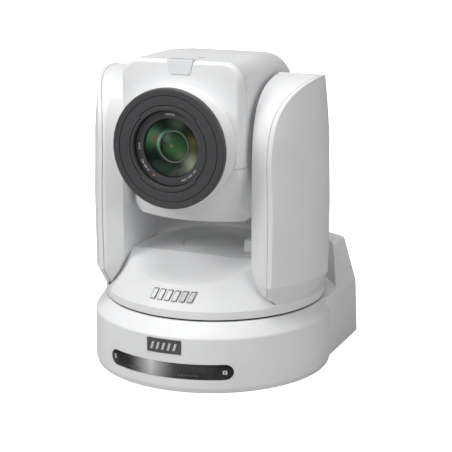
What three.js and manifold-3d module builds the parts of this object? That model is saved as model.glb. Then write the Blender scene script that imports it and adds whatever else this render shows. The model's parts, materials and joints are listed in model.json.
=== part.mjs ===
// PTZ broadcast camera on a round base: a pan turntable with two arms holds a tilting camera head.
// Millimetres, +Z up, the lens looks along -Y. Everything is laid out about the pan axis, and the
// whole assembly is then moved so that the origin is the centre of its underside.
import * as THREE from 'three';
import { mergeVertices } from 'three/addons/utils/BufferGeometryUtils.js';
import Module from 'manifold-3d';

const wasm = await Module();
wasm.setup();

// ---------------------------------------------------------------- driving dimensions
const CLEAR = 0.3; // gap between pieces that sit against each other
const RUN = 0.5; // gap between pieces that turn past each other
const WALL = 3; // moulded cover wall

// Widths grow outwards from the head.
const HEAD_HALF = 56; // half width of the camera head
const ARM_GAP = 4.5; // air between head and arm
const ARM_DEPTH = 47.5; // arm, inner face to outer surface, at the pan axis
const ARM_OVERHANG = 8.6; // arm beyond the turntable rim
const BASE_MARGIN = 8.1; // base beyond the turntable rim

// Heights grow upwards from the feet.
const FOOT_H = 1.5; // rubber foot below the shell
const SHOULDER_Z = 50; // where the base starts to close in
const RIM_Z = 61.5; // top of the base
const PAN_GAP = 1.5; // dark gap under the turntable
const SKIRT_H = 7; // upright band of the turntable
const CONE_H = 36; // conical part of the turntable
const CONE_RUN = 22; // how far the cone closes in
const TILT_RISE = 99; // tilt axis above the deck
const ARM_RISE = 59; // arm top above the tilt axis
const HEAD_RISE = 75; // head top above the tilt axis
const HEAD_DROP = 64; // head underside below the tilt axis

// Places along the lens direction, from the pan axis.
const BASE_LEAD = 4.6; // base circle ahead of the pan axis
const ARM_FRONT = -70;
const ARM_REAR = 2;
const ARM_TOE = 10; // how far the foot of the arm's front slopes back
const ARM_HEEL = 26; // rounding of the arm's rear lower corner
const FLARE_RISE = 36; // where the arm's inner front edge starts to swing outwards
const FLARE_RUN = 19;
const NOSE_RUN = 13.8; // width of the slanted front of the arm, from its inner face
const NOSE_DEPTH = 6.6; // how far the inner face starts behind the front
const FLARE_REAR = -42;
const TILT_Y = -30;
const HEAD_FRONT = -74;
const HEAD_REAR = 50;
const SCOOP_Y = -43; // front edge of the level deck
const SCOOP_SLOPE = 0.4084; // fall of the scooped facet ahead of it
const BOX_CORNER_Y = 97; // rear corners of the connector box
const BOX_REAR_Y = 125; // rear centre of the connector box
const BOX_Z = 6; // underside of the connector box
const BOX_KINK_Z = 57; // where the box starts to close in
const BOX_TOP_Z = 100;

// Status window and model plate on the base front.
const WINDOW_HALF = 57.6;
const WINDOW_H = 13;
const WINDOW_Z = 20.7;
const PLATE_HALF = 15.7;
const PLATE_H = 12;
const PLATE_Z = 41.5;

// Rear connector recess.
const RECESS_HALF = 84;
const RECESS_Z = 14;
const RECESS_TOP = 48;
const RECESS_Y = 90;

// Lens.
const LENS_RISE = 4; // lens axis above the tilt axis
const COLLAR_FRONT = -93.8;
const RING_FRONT = -99.6;
const BARREL_R = 40;
const COLLAR_GAP = 6; // between the barrel and the collar
const COLLAR_WALL = 5;
const BARREL_WALL = 6;
const BARREL_REAR = -28.3;
const PANEL_INSET = 4; // front panel edge to the side of the head
const HEAD_SHOULDER = 20; // rounding of the head's upper corners
const HEAD_CORNER = 8;
const PANEL_SHOULDER = 13;

// Drives.
const HUB_R = 34;
const HUB_WALL = 10;
const BEARING_W = 7.6; // radial width of the pan bearing
const GEAR_MODULE = 1.5;
const GEAR_RIM = 6.5; // pan gear, from the hub to the pitch line
const TILT_TEETH = 34;
const PINION_TEETH = 12;
const SHAFT_R = 9; // tilt shaft
const MOTOR_SHAFT_R = 2;
const PAN_MOTOR_R = 14;
const TILT_MOTOR_R = 12;

// ---------------------------------------------------------------- derived sizes
const ARM_IN = HEAD_HALF + ARM_GAP;
const ARM_R = ARM_IN + ARM_DEPTH;
const TABLE_R = ARM_R - ARM_OVERHANG;
const BASE_R = TABLE_R + BASE_MARGIN;
const RIM_R = TABLE_R + 0.6;
const BOX_CUT_R = ARM_R + 2; // hollow in the connector box that the arms sweep through
const BOX_HALF = BASE_R - 1.5;
const TABLE_Z = RIM_Z + PAN_GAP;
const SKIRT_Z = TABLE_Z + SKIRT_H;
const DECK_Z = SKIRT_Z + CONE_H;
const SKIRT_R = TABLE_R - 0.4;
const DECK_R = SKIRT_R - CONE_RUN;
const ARM_BOTTOM = SKIRT_Z + 2;
const ARM_CHAMFER_Z = ARM_BOTTOM + 18;
const TILT_Z = DECK_Z + TILT_RISE;
const ARM_TOP = TILT_Z + ARM_RISE;
const HEAD_TOP = TILT_Z + HEAD_RISE;
const HEAD_BOTTOM = TILT_Z - HEAD_DROP;
const LENS_Z = TILT_Z + LENS_RISE;
const SEAM_Z = TILT_Z - 14; // between the head's upper and lower covers
const PANEL_HALF = HEAD_HALF - PANEL_INSET;
const CHASSIS_HALF = HEAD_HALF - 5.5;
const TABLE_PLATE_Z = TABLE_Z + 3;
const PAN_TEETH = 2 * Math.round((HUB_R + GEAR_RIM) / GEAR_MODULE);
const COLLAR_R = BARREL_R + COLLAR_GAP + COLLAR_WALL;
const NAME_RING_R = BARREL_R - 3.6;
const GLASS_R = BARREL_R - 14;
const GEAR_Z = RIM_Z - 17.5;
const GEAR_H = 6;
const PAN_PINION_AT = (PAN_TEETH + PINION_TEETH) * GEAR_MODULE / 2;
const TILT_PINION_AT = (TILT_TEETH + PINION_TEETH) * GEAR_MODULE / 2;
const PAN_PINION_ANGLE = -2.36; // about +Z from +X: ahead and to the left
const TILT_PINION_ANGLE = -1.11; // in the YZ plane from +Y: below and behind the shaft
const TILT_GEAR_X = ARM_IN + 12.5;
const TILT_GEAR_W = 5;
const FINE = 56; // facets of the large round pieces
const MEDIUM = 32;
const COARSE = 16;

// ---------------------------------------------------------------- solids
const pair = ([u, v]) => new THREE.Vector2(u, v);

/** A closed three.js geometry as a solid that can be joined and cut. */
function toSolid(geometry) {
  geometry.deleteAttribute('normal');
  geometry.deleteAttribute('uv');
  const merged = mergeVertices(geometry, 1e-4);
  const vertProperties = new Float32Array(merged.attributes.position.array);
  const triVerts = new Uint32Array(merged.index.array);
  return new wasm.Manifold(new wasm.Mesh({ numProp: 3, vertProperties, triVerts }));
}

/** A solid back as a three.js geometry. */
function toGeometry(solid) {
  const { vertProperties, triVerts } = solid.getMesh();
  const geometry = new THREE.BufferGeometry();
  geometry.setAttribute('position', new THREE.BufferAttribute(vertProperties, 3));
  geometry.setIndex(new THREE.BufferAttribute(triVerts, 1));
  return geometry;
}

const join = (first, ...rest) => rest.reduce((all, next) => all.add(next), first);
const cut = (first, ...rest) => rest.reduce((left, next) => left.subtract(next), first);
const common = (first, ...rest) => rest.reduce((kept, next) => kept.intersect(next), first);

/** A block between two corners. */
function block(x0, x1, y0, y1, z0, z1) {
  const geometry = new THREE.BoxGeometry(x1 - x0, y1 - y0, z1 - z0);
  geometry.translate((x0 + x1) / 2, (y0 + y1) / 2, (z0 + z1) / 2);
  return toSolid(geometry);
}

/** Turns a geometry built along +Y so that it lies along the named axis. */
function alongAxis(geometry, axis) {
  if (axis === 'z') geometry.rotateX(Math.PI / 2);
  if (axis === 'x') geometry.rotateZ(-Math.PI / 2);
  return geometry;
}

/** A turned solid: [radius, place along the axis] points, closed on the axis or on themselves. */
function turned(profile, axis = 'z', centre = [0, 0, 0], facets = FINE) {
  const geometry = alongAxis(new THREE.LatheGeometry(profile.map(pair), facets), axis);
  geometry.translate(...centre);
  return toSolid(geometry);
}

/** A plain round bar. */
function bar(radius, from, to, axis = 'z', centre = [0, 0, 0], facets = FINE) {
  return turned([[0, from], [radius, from], [radius, to], [0, to]], axis, centre, facets);
}

/** A plain tube. */
function tube(inner, outer, from, to, axis = 'z', centre = [0, 0, 0], facets = FINE) {
  const profile = [[inner, from], [outer, from], [outer, to], [inner, to], [inner, from]];
  return turned(profile, axis, centre, facets);
}

/** The axes that an outline is drawn on, and the one that it is extruded along. */
const EXTRUDE_BASIS = {
  x: [new THREE.Vector3(0, 1, 0), new THREE.Vector3(0, 0, 1), new THREE.Vector3(1, 0, 0)],
  y: [new THREE.Vector3(1, 0, 0), new THREE.Vector3(0, 0, 1), new THREE.Vector3(0, -1, 0)],
  z: [new THREE.Vector3(1, 0, 0), new THREE.Vector3(0, 1, 0), new THREE.Vector3(0, 0, 1)],
};

/** An outline extruded between two places on an axis: (y, z), (x, z) or (x, y) outlines. */
function prism(outline, axis, from, to, curveSegments = 8) {
  const shape = Array.isArray(outline) ? new THREE.Shape(outline.map(pair)) : outline;
  const options = { depth: to - from, bevelEnabled: false, curveSegments };
  const geometry = new THREE.ExtrudeGeometry(shape, options);
  geometry.translate(0, 0, axis === 'y' ? -to : from);
  geometry.applyMatrix4(new THREE.Matrix4().makeBasis(...EXTRUDE_BASIS[axis]));
  return toSolid(geometry);
}

/** A rectangle with round corners, centred on (u, v). */
function roundedRect(u, v, halfU, halfV, radius) {
  const shape = new THREE.Shape();
  shape.absarc(u + halfU - radius, v - halfV + radius, radius, -Math.PI / 2, 0);
  shape.absarc(u + halfU - radius, v + halfV - radius, radius, 0, Math.PI / 2);
  shape.absarc(u - halfU + radius, v + halfV - radius, radius, Math.PI / 2, Math.PI);
  shape.absarc(u - halfU + radius, v - halfV + radius, radius, Math.PI, Math.PI * 1.5);
  shape.closePath();
  return shape;
}

/** Moves the points of a geometry by a rule. */
function moved(geometry, rule) {
  const place = geometry.attributes.position;
  for (let i = 0; i < place.count; i += 1) {
    place.setXYZ(i, ...rule(place.getX(i), place.getY(i), place.getZ(i)));
  }
  return geometry;
}

const assembly = new THREE.Group();

/** Adds a solid to the assembly as a named piece with its own material. */
function piece(name, solid, color, roughness = 0.5, metalness = 0) {
  const material = new THREE.MeshStandardMaterial({ color, roughness, metalness });
  const mesh = new THREE.Mesh(toGeometry(solid), material);
  mesh.name = name;
  assembly.add(mesh);
}

const WHITE = 0xe4e5e6;
const BLACK = 0x141516;
const GREY = 0x46484a;
const STEEL = 0xa9abad;
const BRASS = 0xb9984e;
const BOARD = 0x1f5c3a;

// ---------------------------------------------------------------- base
/** The round part of the base, closing in from its own centre to the pan axis at the rim. */
function baseRound(inset) {
  const rimZ = RIM_Z - inset;
  const profile = [
    [0, FOOT_H], [BASE_R - 1 - inset, FOOT_H], [BASE_R - inset, FOOT_H + 2],
    [BASE_R - 0.5 - inset, SHOULDER_Z], [RIM_R - inset, rimZ], [0, rimZ],
  ];
  const geometry = alongAxis(new THREE.LatheGeometry(profile.map(pair), FINE), 'z');
  const shift = (z) => BASE_LEAD * Math.min(1, (rimZ - z) / (rimZ - SHOULDER_Z));
  return toSolid(moved(geometry, (x, y, z) => [x, y - shift(z), z]));
}

/** A layer of the connector box: its plan, with a bowed rear, scaled towards the pan axis at the top. */
function boxLayer(half, cornerY, rearY, z0, z1, scaleX, scaleY) {
  const bow = rearY - cornerY;
  const radius = (half * half + bow * bow) / (2 * bow);
  const angle = Math.atan2(cornerY - rearY + radius, half);
  const shape = new THREE.Shape();
  shape.moveTo(-half, 0);
  shape.lineTo(half, 0);
  shape.absarc(0, rearY - radius, radius, angle, Math.PI - angle);
  shape.closePath();
  const options = { depth: z1 - z0, bevelEnabled: false, curveSegments: 14 };
  const geometry = new THREE.ExtrudeGeometry(shape, options);
  const rule = (x, y, z) => (z > 0 ? [x * scaleX, y * scaleY, z1] : [x, y, z0]);
  return toSolid(moved(geometry, rule));
}

/** The connector box behind the base, hollowed in front where the arms pass. */
function connectorBox(inset) {
  const half = BOX_HALF - inset;
  const corner = BOX_CORNER_Y - inset;
  const rear = BOX_REAR_Y - inset;
  const sink = 0.981; // draft of the lower walls
  const lower = boxLayer(half, corner, rear, BOX_Z + inset, BOX_KINK_Z, sink, 0.995);
  const upper = boxLayer(
    half * sink, corner * 0.995, rear * 0.995, BOX_KINK_Z, BOX_TOP_Z - inset, 0.889, 0.965,
  );
  const hollow = bar(BOX_CUT_R + inset, RIM_Z - inset, BOX_TOP_Z + 10);
  return cut(join(lower, upper), hollow);
}

/** A band that follows the front of the base, between two radii and two heights. */
function frontBand(innerR, outerR, z0, z1) {
  return tube(innerR, outerR, z0, z1, 'z', [0, -BASE_LEAD, 0]);
}

const windowOutline = (grow) => roundedRect(
  0, WINDOW_Z, WINDOW_HALF + grow, WINDOW_H / 2 + grow, WINDOW_H / 2 + grow - 0.01,
);

function windowSolid(grow, depth, proud) {
  const slot = prism(windowOutline(grow), 'y', -2 * BASE_R, 0);
  return common(frontBand(BASE_R - depth, BASE_R + proud, 5, SHOULDER_Z), slot);
}

function plateSolid(grow, depth, proud) {
  const half = PLATE_HALF + grow;
  const tall = PLATE_H / 2 + grow;
  const window = block(-half, half, -2 * BASE_R, 0, PLATE_Z - tall, PLATE_Z + tall);
  return common(frontBand(BASE_R - depth, BASE_R + proud, 5, SHOULDER_Z + 5), window);
}

function baseShell() {
  const tray = block(
    -RECESS_HALF - WALL, RECESS_HALF + WALL, RECESS_Y - 2, BOX_REAR_Y + 10,
    RECESS_Z - WALL, RECESS_TOP + WALL,
  );
  const recess = block(-RECESS_HALF, RECESS_HALF, RECESS_Y, BOX_REAR_Y + 10, RECESS_Z, RECESS_TOP);
  const hollow = cut(connectorBox(WALL), tray);
  const below = bar(BASE_R - WALL - 0.5, 0, SHOULDER_Z / 2, 'z', [0, -BASE_LEAD, 0]);
  return cut(
    join(baseRound(0), connectorBox(0)),
    cut(baseRound(WALL + 0.5), tray), below, hollow, recess,
    bar(HUB_R + BEARING_W + RUN + CLEAR, SHOULDER_Z, RIM_Z + 5, 'z', [0, 0, 0], MEDIUM),
    windowSolid(CLEAR, 2 + CLEAR, 5),
    plateSolid(CLEAR, 0.9 + CLEAR, 5),
  );
}

const TRIPOD_R = 11;
const TRIPOD_THREAD_R = 3.2;

/** The steel floor of the base, with vent slots and the tripod hole. */
function basePlate() {
  const slots = [-2, -1, 0, 1, 2].map(
    (step) => block(step * 14 - 3, step * 14 + 3, 42, 72, 0, 10),
  );
  const disc = bar(BASE_R - WALL - 0.5 - CLEAR, FOOT_H + CLEAR, 4, 'z', [0, -BASE_LEAD, 0]);
  return cut(disc, bar(TRIPOD_R + CLEAR, 0, 10, 'z', [0, 0, 0], COARSE), ...slots);
}

const FOOT_R = 8;
const FOOT_AT = [62, 58]; // feet from the base centre, across and along

function feet() {
  for (const [end, sy] of [['front', -1], ['rear', 1]]) {
    for (const [side, sx] of [['left', -1], ['right', 1]]) {
      const at = [sx * FOOT_AT[0], sy * FOOT_AT[1] - BASE_LEAD, 0];
      piece(`foot_${end}_${side}`, bar(FOOT_R, 0, FOOT_H, 'z', at, COARSE), BLACK, 0.9);
    }
  }
}

/** A spur gear with straight tooth flanks and a round bore, one tooth centred on the start angle. */
function gear(teeth, bore, start, axis, from, to, centre) {
  const pitchR = teeth * GEAR_MODULE / 2;
  const tipR = pitchR + 0.85 * GEAR_MODULE;
  const rootR = pitchR - 1.2 * GEAR_MODULE;
  const step = Math.PI * 2 / teeth;
  const points = [];
  for (let tooth = 0; tooth < teeth; tooth += 1) {
    for (const [share, radius] of [[-0.29, rootR], [-0.1, tipR], [0.1, tipR], [0.29, rootR]]) {
      const angle = start + (tooth + share) * step;
      points.push([radius * Math.cos(angle), radius * Math.sin(angle)]);
    }
  }
  const shape = new THREE.Shape(points.map(pair));
  shape.holes.push(new THREE.Path().absarc(0, 0, bore, 0, Math.PI * 2, true));
  const options = { depth: to - from, bevelEnabled: false, curveSegments: MEDIUM / 2 };
  const geometry = new THREE.ExtrudeGeometry(shape, options);
  geometry.translate(0, 0, from);
  geometry.applyMatrix4(new THREE.Matrix4().makeBasis(...EXTRUDE_BASIS[axis]));
  geometry.translate(...centre);
  return toSolid(geometry);
}

/** The pinion's start angle that puts a gap opposite the big gear's tooth. */
const facing = (angle) => angle + Math.PI + Math.PI / PINION_TEETH;

function panDrive() {
  const at = [
    PAN_PINION_AT * Math.cos(PAN_PINION_ANGLE), PAN_PINION_AT * Math.sin(PAN_PINION_ANGLE), 0,
  ];
  const motor = join(
    bar(PAN_MOTOR_R, 12, GEAR_Z - 1, 'z', at, COARSE),
    bar(MOTOR_SHAFT_R, GEAR_Z - 2, GEAR_Z + GEAR_H, 'z', at, COARSE),
  );
  piece('pan_motor', motor, BLACK, 0.5, 0.5);
  const top = GEAR_Z + GEAR_H;
  const bore = MOTOR_SHAFT_R + CLEAR;
  const pinion = gear(PINION_TEETH, bore, facing(PAN_PINION_ANGLE), 'z', GEAR_Z, top, at);
  piece('pan_pinion', pinion, BRASS, 0.35, 1);
  const wheel = gear(PAN_TEETH, HUB_R + CLEAR, PAN_PINION_ANGLE, 'z', GEAR_Z, top, [0, 0, 0]);
  piece('pan_gear', wheel, STEEL, 0.4, 1);
}

// ---------------------------------------------------------------- connectors
const PANEL_Y = RECESS_Y + CLEAR;
const PANEL_T = 2;
const SOCKET_Y = PANEL_Y + PANEL_T + CLEAR; // where the sockets stand on the panel
const SOCKET_DEPTH = 11.5;
const SOCKET_Z = (RECESS_Z + RECESS_TOP) / 2;
const JACK_HALF = [8, 6.8]; // network jack, across and up
const JACK_MOUTH = [6, 4.2];

function networkJack(x) {
  const [halfX, halfZ] = JACK_HALF;
  const [mouthX, mouthZ] = JACK_MOUTH;
  const front = SOCKET_Y + SOCKET_DEPTH;
  return cut(
    block(x - halfX, x + halfX, SOCKET_Y, front, SOCKET_Z - halfZ, SOCKET_Z + halfZ),
    block(x - mouthX, x + mouthX, SOCKET_Y + 1.5, front + 1, SOCKET_Z - mouthZ, SOCKET_Z + mouthZ),
  );
}

const POST = { r: 4.9, bore: 4, nut: 7, pin: 1.2 };

function videoPost(x) {
  const centre = [x, 0, SOCKET_Z];
  const front = SOCKET_Y + SOCKET_DEPTH;
  return join(
    tube(POST.bore, POST.r, SOCKET_Y + 1, front, 'y', centre, COARSE),
    bar(POST.nut, SOCKET_Y, SOCKET_Y + 2.5, 'y', centre, COARSE),
    bar(POST.pin, SOCKET_Y + 1, front - 2, 'y', centre, 12),
  );
}

function screenSocket(x) {
  const front = SOCKET_Y + SOCKET_DEPTH - 2;
  return join(
    cut(
      block(x - 8.5, x + 8.5, SOCKET_Y, front, SOCKET_Z - 3.6, SOCKET_Z + 3.6),
      block(x - 7, x + 7, SOCKET_Y + 2, front + 1, SOCKET_Z - 2.2, SOCKET_Z + 2.2),
    ),
    block(x - 5.8, x + 5.8, SOCKET_Y + 1, front - 1.5, SOCKET_Z - 0.6, SOCKET_Z + 0.6),
  );
}

function powerInlet(x) {
  const centre = [x, 0, SOCKET_Z];
  const front = SOCKET_Y + SOCKET_DEPTH - 1;
  const socket = cut(
    block(x - 7.5, x + 7.5, SOCKET_Y, front, SOCKET_Z - 7.5, SOCKET_Z + 7.5),
    bar(3.2, SOCKET_Y + 2, front + 1, 'y', centre, COARSE),
  );
  return join(socket, bar(1, SOCKET_Y + 1, front - 1, 'y', centre, 12));
}

const DIAL = { x: -37, r: 6, from: SOCKET_Y, to: SOCKET_Y + 6 };
const SWITCH = { x: -53, half: 3, travel: 5 };
const BUTTON = { x: 54, r: 3 };

/** The rear panel: a flat plate with the openings that the push button and switch need. */
function connectorPanel() {
  const back = PANEL_Y - 1;
  const slotHalf = SWITCH.half + SWITCH.travel / 2 + CLEAR;
  return cut(
    block(
      CLEAR - RECESS_HALF, RECESS_HALF - CLEAR, PANEL_Y, PANEL_Y + PANEL_T,
      RECESS_Z + CLEAR, RECESS_TOP - CLEAR,
    ),
    bar(BUTTON.r + CLEAR, back, PANEL_Y + 5, 'y', [BUTTON.x, 0, SOCKET_Z], COARSE),
    block(SWITCH.x - slotHalf, SWITCH.x + slotHalf, back, PANEL_Y + 5, SOCKET_Z - 2.3, SOCKET_Z + 2.3),
  );
}

function rearControls() {
  const dialAt = [DIAL.x, 0, SOCKET_Z];
  const dial = cut(
    bar(DIAL.r, DIAL.from, DIAL.to, 'y', dialAt, COARSE),
    block(DIAL.x - 0.6, DIAL.x + 0.6, DIAL.to - 1.5, DIAL.to + 1, SOCKET_Z, SOCKET_Z + DIAL.r + 1),
  );
  piece('mode_dial', dial, BLACK, 0.5);
  const rest = SWITCH.x - SWITCH.travel / 2;
  const slider = join(
    block(rest - 3, rest + 3, PANEL_Y + 0.2, SOCKET_Y + 1.5, SOCKET_Z - 2, SOCKET_Z + 2),
    block(rest - 1.5, rest + 1.5, SOCKET_Y + 1, SOCKET_Y + 4, SOCKET_Z - 2, SOCKET_Z + 2),
  );
  piece('output_switch', slider, 0xd9d9d6, 0.5);
  const at = [BUTTON.x, 0, SOCKET_Z];
  piece('reset_button', bar(BUTTON.r, PANEL_Y + 1.3, SOCKET_Y + 3, 'y', at, COARSE), GREY, 0.5);
}

function connectors() {
  piece('connector_panel', connectorPanel(), GREY, 0.6, 0.3);
  piece('lan_jack', networkJack(68), STEEL, 0.35, 0.9);
  piece('control_jack', networkJack(40), STEEL, 0.35, 0.9);
  piece('hdmi_socket', screenSocket(18), STEEL, 0.35, 0.9);
  piece('sdi_post', videoPost(-2), STEEL, 0.3, 0.9);
  piece('sync_post', videoPost(-20), STEEL, 0.3, 0.9);
  piece('power_inlet', powerInlet(-70), BLACK, 0.5);
}

// ---------------------------------------------------------------- base assembly
const FAN = { x: -40, y: 62, half: 20, r: 18, z0: 28, z1: 38, hub: 8, blades: 7 };
const BLADE = { length: 10.5, thick: 1, width: 6, pitch: 0.6, tipGap: 0.75 };

function fan() {
  const at = [FAN.x, FAN.y, 0];
  const frame = cut(
    block(FAN.x - FAN.half, FAN.x + FAN.half, FAN.y - FAN.half, FAN.y + FAN.half, FAN.z0, FAN.z1),
    bar(FAN.r + RUN, FAN.z0 - 1, FAN.z1 + 1, 'z', at, COARSE),
  );
  const spoke = block(FAN.x - FAN.half, FAN.x + FAN.half, FAN.y - 1, FAN.y + 1, FAN.z0, FAN.z0 + 1.5);
  piece('fan_frame', join(frame, spoke), BLACK, 0.6);
  const blades = [];
  for (let blade = 0; blade < FAN.blades; blade += 1) {
    const geometry = new THREE.BoxGeometry(BLADE.length, BLADE.thick, BLADE.width);
    geometry.rotateX(BLADE.pitch);
    geometry.translate(FAN.r - BLADE.tipGap - BLADE.length / 2, 0, 0);
    geometry.rotateZ(blade * Math.PI * 2 / FAN.blades);
    geometry.translate(FAN.x, FAN.y, (FAN.z0 + FAN.z1) / 2 + 1);
    blades.push(toSolid(geometry));
  }
  const hub = bar(FAN.hub, FAN.z0 + 2, FAN.z1 - 1, 'z', at, COARSE);
  piece('fan_rotor', join(hub, ...blades), BLACK, 0.6);
}

const BOARD_GAP = 5; // between the pan motor and the power board

function baseBody() {
  piece('base_shell', baseShell(), WHITE, 0.5);
  piece('base_plate', basePlate(), STEEL, 0.45, 0.8);
  feet();
  const bush = tube(TRIPOD_THREAD_R, TRIPOD_R, 0, 9, 'z', [0, 0, 0], COARSE);
  piece('tripod_bush', bush, STEEL, 0.4, 0.9);
  piece('status_window', windowSolid(0, 2, 0.1), BLACK, 0.1);
  piece('model_plate', plateSolid(0, 0.9, 0.4), GREY, 0.35, 0.4);
  piece('pan_seal', tube(RIM_R - 8, RIM_R - 2, RIM_Z + CLEAR, RIM_Z + PAN_GAP - 0.4), BLACK, 0.9);
  const bearing = tube(
    HUB_R + RUN, HUB_R + RUN + BEARING_W, RIM_Z - 8.5, RIM_Z - CLEAR, 'z', [0, 0, 0], MEDIUM,
  );
  piece('pan_bearing', bearing, STEEL, 0.3, 1);
  piece('main_board', block(-86, 86, 56, 86, 14, 15.6), BOARD, 0.5);
  const motorEdge = PAN_PINION_AT * Math.sin(PAN_PINION_ANGLE) - PAN_MOTOR_R;
  const [boardFront, boardRear] = [BASE_MARGIN + 11.4 - BASE_R, motorEdge - BOARD_GAP];
  piece('power_board', block(-40, 40, boardFront, boardRear, 12, 13.6), BOARD, 0.5);
  panDrive();
  connectors();
  rearControls();
  fan();
}

// ---------------------------------------------------------------- turntable
/** The space above the scooped facet, lowered by a wall. */
function scoop(lower) {
  const far = -2 * TABLE_R;
  const fall = (y) => DECK_Z - lower + (y - SCOOP_Y) * SCOOP_SLOPE;
  const points = [[SCOOP_Y, DECK_Z - lower], [far, fall(far)], [far, DECK_Z + 50], [SCOOP_Y, DECK_Z + 50]];
  return prism(points, 'x', -2 * TABLE_R, 2 * TABLE_R);
}

function tableRound(inset) {
  return turned([
    [0, TABLE_Z], [TABLE_R - inset, TABLE_Z], [SKIRT_R - inset, SKIRT_Z - inset / 3],
    [DECK_R - inset * 0.8, DECK_Z - inset], [0, DECK_Z - inset],
  ]);
}

const CAP_R = 28;
const DECK_WALL_H = 12; // wall at the rear of the deck
const DECK_WALL_IN = 14; // from the deck's edge in to the wall's face
const EMBLEM = { half: 21.5, low: 6.5, high: 15.5, proud: 1.4 };

const SHELF_W = 22; // low block on the deck, beside the right arm
const SHELF_Y = [-27, 24];
const SHELF_H = 12;

/** The low block beside the right arm, or the space it needs when grown. */
function deckBlock(grow) {
  return block(
    ARM_IN - SHELF_W - grow, ARM_IN - CLEAR + grow, SHELF_Y[0] - grow, SHELF_Y[1] + grow,
    DECK_Z + CLEAR - grow, DECK_Z + SHELF_H + grow,
  );
}

/** The low wall that rises from the rear of the deck, from arm to arm. */
function deckWall() {
  const [foot, top] = [DECK_Z - 1, DECK_Z + DECK_WALL_H];
  const [inner, outer] = [DECK_R - DECK_WALL_IN, DECK_R - DECK_WALL_IN + 2 * WALL];
  const ring = turned([[inner, foot], [outer, foot], [outer, top], [inner, top], [inner, foot]]);
  const ahead = block(-2 * TABLE_R, 2 * TABLE_R, -2 * TABLE_R, ARM_REAR + WALL, foot - 1, top + 1);
  return cut(ring, ahead, deckBlock(CLEAR));
}

function turntableShell() {
  const seats = [-1, 1].map((side) => cut(
    sidePrism(side, armOutline(-CLEAR), ARM_IN - CLEAR, 2 * ARM_R), flare(side, CLEAR),
  ));
  const open = bar(TABLE_R - WALL - 1, TABLE_Z - 1, TABLE_Z + 1);
  const capSeat = bar(CAP_R + CLEAR, DECK_Z - 1.5, DECK_Z + 1, 'z', [0, 0, 0], MEDIUM);
  const shell = cut(
    tableRound(0), scoop(0), cut(tableRound(WALL), scoop(WALL + 0.3)), open, capSeat, ...seats,
  );
  return join(shell, deckWall());
}

/** A raised band on the cone, between two heights and two sides. */
function emblem() {
  const slope = CONE_RUN / CONE_H;
  const radius = (z, proud) => SKIRT_R - (z - SKIRT_Z) * slope + proud;
  const [low, high] = [SKIRT_Z + EMBLEM.low, SKIRT_Z + EMBLEM.high];
  const band = turned([
    [radius(low, CLEAR), low], [radius(low, EMBLEM.proud), low], [radius(high, EMBLEM.proud), high],
    [radius(high, CLEAR), high], [radius(low, CLEAR), low],
  ]);
  return common(band, block(-EMBLEM.half, EMBLEM.half, -2 * TABLE_R, 0, low - 5, high + 5));
}


function turntableBody() {
  piece('turntable_shell', turntableShell(), WHITE, 0.5);
  piece('deck_cap', bar(CAP_R, DECK_Z - 1.2, DECK_Z - 0.2, 'z', [0, 0, 0], MEDIUM), WHITE, 0.5);
  piece('front_emblem', emblem(), GREY, 0.3, 0.6);
  piece('deck_block', deckBlock(0), WHITE, 0.5);
  const plate = tube(
    HUB_R - HUB_WALL, TABLE_R - WALL - 2.5, TABLE_PLATE_Z, TABLE_PLATE_Z + 3, 'z', [0, 0, 0], MEDIUM,
  );
  piece('turntable_plate', plate, STEEL, 0.45, 0.8);
  const [bore, top] = [HUB_R - HUB_WALL, TABLE_PLATE_Z - CLEAR];
  const hub = turned([
    [bore, GEAR_Z - 2], [HUB_R, GEAR_Z - 2], [HUB_R, top - 3], [HUB_R + 10, top - 3],
    [HUB_R + 10, top], [bore, top], [bore, GEAR_Z - 2],
  ], 'z', [0, 0, 0], MEDIUM);
  piece('pan_hub', hub, STEEL, 0.35, 0.9);
}

// ---------------------------------------------------------------- arms
/** The arm seen from the side: upright front and rear, and a swept top that peaks at the rear. */
function armOutline(inset) {
  const [front, rear] = [ARM_FRONT + inset, ARM_REAR - inset];
  const [bottom, top] = [ARM_BOTTOM + inset, ARM_TOP - inset];
  const shape = new THREE.Shape();
  shape.moveTo(front + ARM_TOE, bottom);
  shape.lineTo(rear - ARM_HEEL, bottom);
  shape.quadraticCurveTo(rear, bottom, rear, bottom + ARM_HEEL);
  shape.lineTo(rear, top);
  shape.bezierCurveTo(rear - 58, top - 1, front, top - 24, front, top - 74);
  shape.lineTo(front, ARM_CHAMFER_Z);
  shape.closePath();
  return shape;
}

const ARM_LEAN = { foot: 9.2, chamfer: 0.4, axis: 1.2, top: 6.2 }; // how far in each level stands

/** The round outside of both arms, leaning in towards the top and chamfered at the foot. */
function armSkin(inset) {
  const outer = ARM_R - inset;
  return turned([
    [0, ARM_BOTTOM - 5], [outer - ARM_LEAN.foot, ARM_BOTTOM - 5], [outer - ARM_LEAN.foot, ARM_BOTTOM],
    [outer - ARM_LEAN.chamfer, ARM_CHAMFER_Z], [outer, ARM_CHAMFER_Z + 60],
    [outer - ARM_LEAN.axis, TILT_Z], [outer - ARM_LEAN.top, ARM_TOP + 1], [0, ARM_TOP + 1],
  ]);
}

/** The same box on either side of the assembly: x is measured outwards. */
function sideBlock(side, x0, x1, y0, y1, z0, z1) {
  return side > 0 ? block(x0, x1, y0, y1, z0, z1) : block(-x1, -x0, y0, y1, z0, z1);
}

/** The same side prism on either side of the assembly. */
function sidePrism(side, outline, x0, x1) {
  return side > 0 ? prism(outline, 'x', x0, x1, 14) : prism(outline, 'x', -x1, -x0, 14);
}

/** A bar along the tilt axis direction, on either side. */
function sideBar(side, radius, x0, x1, y, z, facets = COARSE) {
  return side > 0 ? bar(radius, x0, x1, 'x', [0, y, z], facets)
    : bar(radius, -x1, -x0, 'x', [0, y, z], facets);
}

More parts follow.
